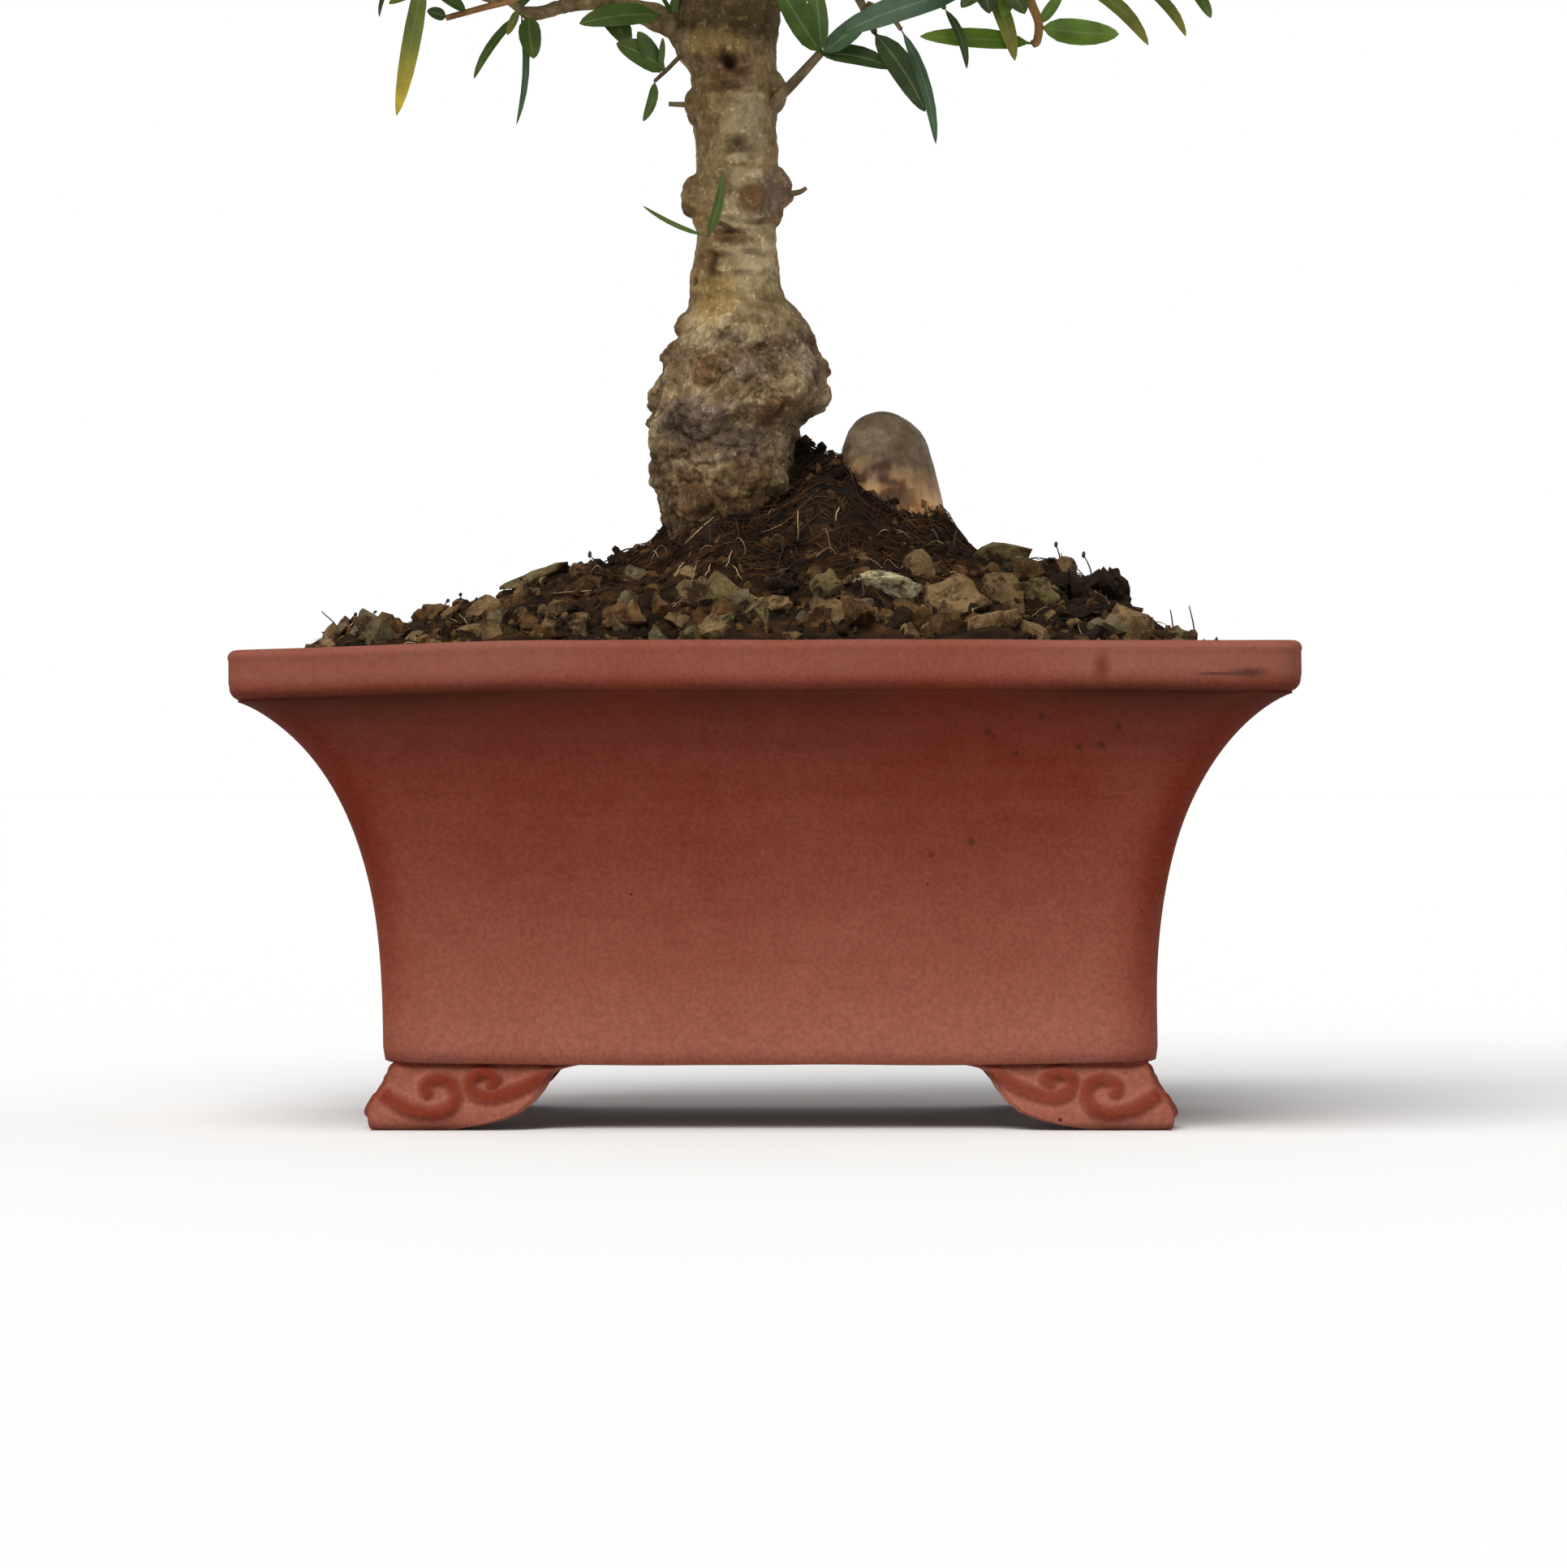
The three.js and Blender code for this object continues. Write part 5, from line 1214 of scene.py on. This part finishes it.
sprays = {
    "seed": 27, "facing": (0.1, -1.0, 0.55), "tilt": 0.22,
    # twigs: points along each, radius at root and tip, kind
    "twigs": [
        ([(-44.6, -2.6, 221.0), (-49.4, -3.6, 218.6), (-55.3, -4.6, 216.9),
         (-62.4, -5.6, 214.8)], 0.75, 0.6, "young"),
        ([(-44.0, -2.3, 216.4), (-48.0, -3.2, 216.6)], 1.1, 0.8, "old"),
        ([(-52.0, -4.0, 218.0), (-60.0, -5.4, 220.4), (-64.6, -6.2, 222.0),
         (-66.6, -6.6, 224.6)], 0.7, 0.5, "old"),
        ([(-62.0, -5.8, 221.2), (-68.0, -6.8, 220.6), (-73.0, -7.4, 221.0)], 0.5, 0.4, "old"),
        ([(20.0, -7.0, 217.4), (24.0, -10.6, 215.0), (26.3, -12.6, 211.8)], 0.6, 0.45, "old"),
        ([(0.4, -3.4, 197.6), (5.2, -7.0, 201.8), (10.8, -11.0, 207.5)], 1.25, 0.85, "old"),
        ([(-14.6, -3.0, 208.6), (-16.7, -4.4, 207.4), (-19.4, -6.0, 204.5),
         (-21.6, -7.4, 202.3)], 0.55, 0.38, "old"),
        ([(-6.6, -7.6, 173.4), (-9.4, -10.4, 174.4), (-11.4, -12.0, 171.7)], 0.5, 0.4, "old"),
        ([(4.6, -1.0, 180.9), (6.6, -1.4, 181.2), (8.0, -1.6, 182.0)], 0.7, 0.4, "old"),
        ([(-15.6, -0.6, 198.4), (-19.0, -0.8, 198.5)], 0.6, 0.5, "old"),
        ([(31.0, -4.0, 224.6), (36.0, -14.0, 221.6), (39.6, -25.2, 218.2)], 1.1, 0.7, "old"),
        ([(17.0, -2.6, 221.4), (19.0, -7.0, 216.8), (21.2, -11.4, 211.4)], 1.0, 0.6, "old"),
        ([(33.0, -4.4, 225.0), (44.0, -8.0, 222.6), (52.6, -10.0, 221.6), (64.0, -8.0, 221.6),
         (76.0, -6.0, 221.4), (83.0, -6.0, 220.8)], 1.5, 0.6, "old"),
        ([(50.6, -9.8, 221.8), (51.5, -10.2, 217.7), (53.1, -10.6, 213.4), (52.8, -10.9, 209.8),
         (51.9, -11.1, 209.1)], 1.05, 0.8, "young"),
        ([(33.6, -4.8, 224.4), (34.2, -10.6, 220.0), (34.6, -13.8, 215.8)], 0.7, 0.5, "old"),
        ([(-17.4, -1.6, 214.4), (-18.4, -4.4, 215.7)], 0.6, 0.4, "old"),
    ],
    # leaves: root, tip, width, bow out of the blade, curl along it, kind
    "leaves": [
        ((-66.6, -6.6, 224.5), (-71.8, -9.4, 195.4), 3.7, 0.03, 0.0, "yellowing"),
        ((-73.0, -7.4, 221.0), (-75.2, -9.0, 214.6), 1.0, 0.1, 0.05, "deep"),
        ((-67.0, -6.8, 220.6), (-73.4, -8.0, 217.3), 2.4, 0.02, 0.0, "olive"),
        ((-62.3, -5.6, 215.0), (-66.0, -7.4, 216.0), 2.6, 0.05, 0.0, "deep"),
        ((-58.4, -5.0, 216.2), (-64.8, -8.0, 219.8), 2.8, 0.05, 0.0, "mid"),
        ((-47.6, -3.2, 216.3), (-56.9, -6.0, 202.9), 2.3, -0.03, 0.1, "mid"),
        ((-48.0, -3.2, 216.3), (-48.6, -7.0, 193.8), 1.4, 0.03, -0.065, "blue"),
        ((-46.3, -3.2, 215.6), (-45.2, -6.4, 206.8), 4.4, 0.02, 0.03, "mid"),
        ((-48.4, -3.2, 216.8), (-50.5, -4.6, 211.6), 1.7, 0.02, 0.0, "olive"),
        ((-48.0, -3.2, 216.8), (-53.4, -2.0, 226.0), 3.0, 0.02, 0.0, "mid"),
        ((-48.0, -3.2, 216.8), (-43.0, -6.0, 226.0), 3.0, 0.02, 0.0, "deep"),
        ((-33.0, -3.0, 217.8), (-26.7, -9.4, 208.8), 5.2, 0.03, -0.04, "mid"),
        ((-20.4, -5.0, 215.4), (-36.2, -10.0, 213.2), 5.4, 0.02, 0.04, "mid"),
        ((-19.4, -6.2, 204.5), (-29.0, -10.6, 209.3), 5.4, 0.04, 0.03, "mid"),
        ((-20.6, -6.6, 204.0), (-24.9, -8.8, 211.8), 4.0, 0.02, 0.0, "mid"),
        ((-20.6, -6.6, 204.8), (-20.0, -9.0, 210.6), 1.4, 0.02, 0.0, "mid"),
        ((-21.6, -7.4, 202.3), (-23.8, -9.8, 194.2), 2.0, 0.03, -0.06, "mid"),
        ((-18.4, -4.4, 215.7), (-20.6, -8.0, 219.0), 1.7, 0.02, 0.0, "mid"),
        ((-18.4, -4.4, 215.7), (-17.2, -8.0, 219.4), 1.7, 0.02, 0.0, "mid"),
        ((-11.4, -12.0, 171.7), (-23.8, -14.4, 177.4), 1.1, -0.03, -0.04, "mid"),
        ((-11.4, -12.0, 171.7), (-8.2, -16.0, 183.8), 2.0, 0.03, 0.04, "mid"),
        ((10.7, -11.2, 207.3), (1.6, -17.0, 221.2), 7.2, 0.05, -0.05, "mid"),
        ((10.8, -11.0, 207.4), (9.2, -14.0, 222.0), 4.0, 0.03, 0.03, "mid"),
        ((10.8, -11.2, 207.4), (21.0, -14.5, 215.6), 4.4, 0.04, 0.05, "blue"),
        ((10.4, -10.8, 207.2), (24.6, -12.6, 204.2), 4.7, 0.05, -0.05, "deep"),
        ((39.3, -25.0, 217.9), (14.6, -23.4, 209.8), 6.2, 0.04, 0.02, "blue"),
        ((21.0, -11.4, 211.4), (31.0, -13.0, 195.8), 5.2, 0.03, -0.04, "deep"),
        ((26.3, -12.6, 211.8), (33.0, -16.4, 189.2), 2.3, 0.03, -0.06, "blue"),
        ((34.6, -13.8, 215.8), (39.0, -15.8, 203.8), 1.8, 0.03, -0.08, "deep"),
        ((51.9, -11.2, 209.2), (30.0, -13.6, 210.3), 4.5, 0.02, 0.0, "bright"),
        ((53.4, -11.0, 212.4), (68.6, -13.0, 210.8), 5.2, 0.03, 0.03, "bright"),
        ((53.2, -10.8, 213.0), (57.8, -9.6, 219.4), 2.3, 0.02, 0.0, "bright"),
        ((42.4, -9.0, 222.4), (48.4, -13.4, 205.6), 3.6, 0.05, -0.03, "olive"),
        ((44.6, -8.6, 222.2), (38.0, -14.0, 215.8), 4.2, 0.03, 0.0, "mid"),
        ((46.4, -8.8, 222.0), (50.2, -16.0, 214.4), 4.6, 0.03, 0.0, "mid"),
        ((42.0, -7.6, 223.0), (43.4, -15.0, 214.6), 4.4, 0.03, 0.0, "deep"),
        ((48.0, -9.0, 222.0), (46.0, -14.0, 214.0), 3.6, 0.03, 0.0, "bright"),
        ((60.4, -8.4, 221.6), (74.5, -10.0, 209.0), 3.3, 0.04, -0.08, "olive"),
        ((73.0, -6.4, 221.4), (81.9, -8.0, 211.0), 2.7, 0.04, -0.07, "olive"),
        ((83.0, -6.0, 220.8), (86.8, -7.4, 214.6), 2.6, 0.1, 0.0, "mid"),
        ((83.0, -6.0, 220.8), (92.0, -4.0, 222.0), 3.6, 0.04, 0.0, "mid"),
    ],
}
twigParts = {"old": plant["twigs"], "young": []}
for points, root, tip, kind in sprays["twigs"]:
    path = curveThrough(points, 5)
    twigParts[kind].append(tube(path, np.linspace(root, tip, len(path)), 8))
sprayDice = np.random.default_rng(sprays["seed"])
for root, tip, *shape in sprays["leaves"]:
    facing = np.array(sprays["facing"]) + sprays["tilt"] * sprayDice.normal(0, 1, 3)
    plant["leaves"].append((np.array(root), np.array(tip), facing, *shape))


# Leaves: thick, leathery and narrow, glossy above with a sunken midrib, paler and dull beneath

leafLook = {
    "stations": (0.0, 0.05, 0.12, 0.24, 0.4, 0.56, 0.72, 0.86, 0.95, 1.0),
    "widths": (0.1, 0.15, 0.54, 0.88, 1.0, 0.98, 0.86, 0.62, 0.34, 0.04), "fold": 0.16, "thick": 0.26,
    # kinds: colours of the face, of its tip and of the back
    "kinds": {
        "deep": ("#31421b", "#31421b", "#56653f"), "mid": ("#425722", "#4a5a25", "#617047"),
        "blue": ("#385235", "#385235", "#5b6e56"), "bright": ("#54701f", "#607826", "#748845"),
        "olive": ("#636a2f", "#7c772e", "#767e4d"), "yellowing": ("#66702f", "#b59f26", "#7a7f48"),
    },
    "midrib": "#8c9a66", "change": 4.0, "faceRough": 0.4, "backRough": 0.6,
    "replaces": ["foliage_" + b["name"] for b in boughs] + ["shoot_right", "shoot_left", "shoot_front"],
}


def leafMaterial(name, code, tip, rough):
    # a waxy skin over leathery green: soft broad highlights, a pale midrib, older leaves yellowing at the tip
    material, add, at = newMaterial(name, {"Roughness": rough, "IOR": 1.45, "Specular IOR Level": 0.34})
    change = add("TexNoise", {"Scale": 1000 / leafLook["change"], "Detail": 4.0, "Vector": at})
    along, across = (add("Attribute", {"attribute_name": name}, "Fac") for name in ("along", "across"))
    atTip = add("MapRange", {0: along, 1: 0.45, 2: 0.95})
    colour = add("Mix", {"data_type": "RGBA", 0: atTip, 6: fromHex(code), 7: fromHex(tip)}, 2)
    onRib = add("MapRange", {0: across, 1: 0.88, 2: 0.97, 4: 0.3})
    colour = add("Mix", {"data_type": "RGBA", 0: onRib, 6: colour, 7: fromHex(leafLook["midrib"])}, 2)
    lightness = add("MapRange", {0: change, 1: 0.3, 2: 0.7, 3: 0.74, 4: 1.26})
    colour = add("HueSaturation", {"Color": colour, "Value": lightness})
    return paint(material, colour, add("Bump", {"Strength": 0.25, "Distance": 0.0003, "Height": change}))


def leafMesh(leaves):
    # every leaf is a thin closed blade of four points at each station: edge, face, edge, back
    root, tip, flat = (np.array([one[k] for one in leaves], float)[:, None, :] for k in (0, 1, 2))
    width, bow, curl = (np.array([one[k] for one in leaves], float)[:, None, None] for k in (3, 4, 5))
    axis = tip - root
    length = np.linalg.norm(axis, axis=2, keepdims=True)
    ahead = unit(axis)
    face = unit(flat - ahead * (flat * ahead).sum(2, keepdims=True))
    side = np.cross(ahead, face)
    t = np.array(leafLook["stations"])[None, :, None]
    half = np.array(leafLook["widths"])[None, :, None] * width / 2
    spine = root + axis * t + (face * bow + side * curl) * length * 4 * t * (1 - t)
    raised = face * half * leafLook["fold"]
    slim = leafLook["thick"] * np.sqrt(np.clip(half / half.max(axis=1, keepdims=True), 0.25, 1))
    edges = [spine - side * half + raised, spine + side * half + raised]
    points = np.stack([edges[0], spine, edges[1], spine - face * slim], axis=2).reshape(-1, 3)
    count = len(leafLook["stations"])
    blade = np.array(ringFaces(count, 4))
    faces = (blade[None] + (np.arange(len(leaves)) * count * 4)[:, None, None]).reshape(-1, 4)
    under = np.tile([0, 0, 1, 1] * (count - 1) + [1, 1], len(leaves))
    along = np.tile(np.repeat(leafLook["stations"], 4), len(leaves))
    across = np.tile([0.0, 1.0, 0.0, 1.0], count * len(leaves))
    return points, faces.tolist(), under, {"along": along, "across": across}


def sharpenRims(piece):
    # the blade's two rims are true edges, so that face and back are shaded apart
    edges = np.empty(len(piece.data.edges) * 2, np.int32)
    piece.data.edges.foreach_get("vertices", edges)
    ends = edges.reshape(-1, 2) % 4
    rims = (ends[:, 0] == ends[:, 1]) & (ends[:, 0] % 2 == 0)
    piece.data.attributes.new("sharp_edge", "BOOLEAN", "EDGE").data.foreach_set("value", rims)


def makeLeaves():
    for kind, (code, tip, back) in leafLook["kinds"].items():
        own = [one for one in plant["leaves"] if one[-1] == kind]
        points, faces, under, layers = leafMesh(own)
        sides = [leafMaterial(kind + "LeafFace", code, tip, leafLook["faceRough"]),
                 leafMaterial(kind + "LeafBack", back, back, leafLook["backRough"])]
        nodes = leafLook["replaces"]
        sharpenRims(addPiece("leaves_" + kind, points, faces, sides, "foliage", nodes, under, layers))
        print("leaves", kind, len(own))


twig = {
    "old": [(0.34, "#3e3220"), (0.5, "#5d4d34"), (0.66, "#7a6a4b")],
    "young": [(0.34, "#6f5029"), (0.5, "#8c673a"), (0.66, "#a07a48")],
    # sizes in mm of changes of colour and of the roughness
    "change": 4.0, "fine": 0.9,
}


def twigMaterial(kind):
    # young bark: thin, tan to olive-brown on old twigs and orange on new ones, faintly roughened
    material, add, at = newMaterial(kind + "TwigBark", {"Roughness": 0.72, "Specular IOR Level": 0.2})
    change = add("TexNoise", {"Scale": 1000 / twig["change"], "Detail": 5.0, "Vector": at})
    fine = add("TexNoise", {"Scale": 1000 / twig["fine"], "Detail": 2.0, "Vector": at})
    colour = add("ValToRGB", {"stops": twig[kind], "Fac": change})
    return paint(material, colour, add("Bump", {"Strength": 0.4, "Distance": 0.0003, "Height": fine}))


makeLeaves()
for kind, parts in twigParts.items():
    addPiece(kind + "Twigs", *joined(parts), [twigMaterial(kind)], "foliage", leafLook["replaces"])
print("leaves and twigs made")


# Floor, light and camera

stage = {
    "floor": "#cfcecc", "floorSize": 40.0, "lens": 152.26, "sensor": 36.0, "camera": (3.5, -1300.0, 65.3),
    # sky: how high, as the sine of the angle above the horizon, and how bright
    "sky": [(0.0, "#ffffff"), (0.2, "#ffffff"), (0.45, "#9b9da0"), (1.0, "#9b9da0")],
    # overcast light from above, in front and a little to the left, and a weak fill from behind: strength,
    # how wide in degrees, where it comes from
    "sun": (4.2, 50.0, (-0.35, -0.75, 1.25)), "fill": (0.5, 120.0, (0.6, 0.9, 0.8)),
}
scene = bpy.context.scene

floorMesh = bpy.data.meshes.new("studioFloor")
size = stage["floorSize"]
corners = [(-size, -size, 0), (size, -size, 0), (size, size, 0), (-size, size, 0)]
floorMesh.from_pydata(corners, [], [(0, 1, 2, 3)])
floor = bpy.data.objects.new("studioFloor", floorMesh)
scene.collection.objects.link(floor)
# matt backdrop paper: a plain pale grey that only takes the soft shadow
paper = {"Roughness": 0.9, "Specular IOR Level": 0.2, "Base Color": fromHex(stage["floor"])}
floorMesh.materials.append(newMaterial("paleFloor", paper)[0])

world = bpy.data.worlds.new("studio")
scene.world = world
world.use_nodes = True
direction = addNode(world.node_tree, "TexCoord", {}, "Generated")
height = addNode(world.node_tree, "SeparateXYZ", {0: direction}, "Z")
sky = addNode(world.node_tree, "ValToRGB", {"stops": stage["sky"], "Fac": height})
world.node_tree.links.new(sky, world.node_tree.nodes["Background"].inputs["Color"])

for name in ("sun", "fill"):
    strength, wide, place = stage[name]
    lamp = bpy.data.lights.new(name, "SUN")
    lamp.energy = strength
    lamp.angle = math.radians(wide)
    lampObject = bpy.data.objects.new(name, lamp)
    lampObject.location = place
    lampObject.rotation_euler = (-Vector(place)).to_track_quat("-Z", "Y").to_euler()
    scene.collection.objects.link(lampObject)

cameraData = bpy.data.cameras.new("camera")
cameraData.lens = stage["lens"]
cameraData.sensor_width = stage["sensor"]
cameraData.clip_end = 50.0
camera = bpy.data.objects.new("camera", cameraData)
camera.location = [c * mm for c in stage["camera"]]
camera.rotation_euler = (math.radians(90), 0, 0)
scene.collection.objects.link(camera)
scene.camera = camera
scene.view_settings.view_transform = "Standard"
print("stage set")
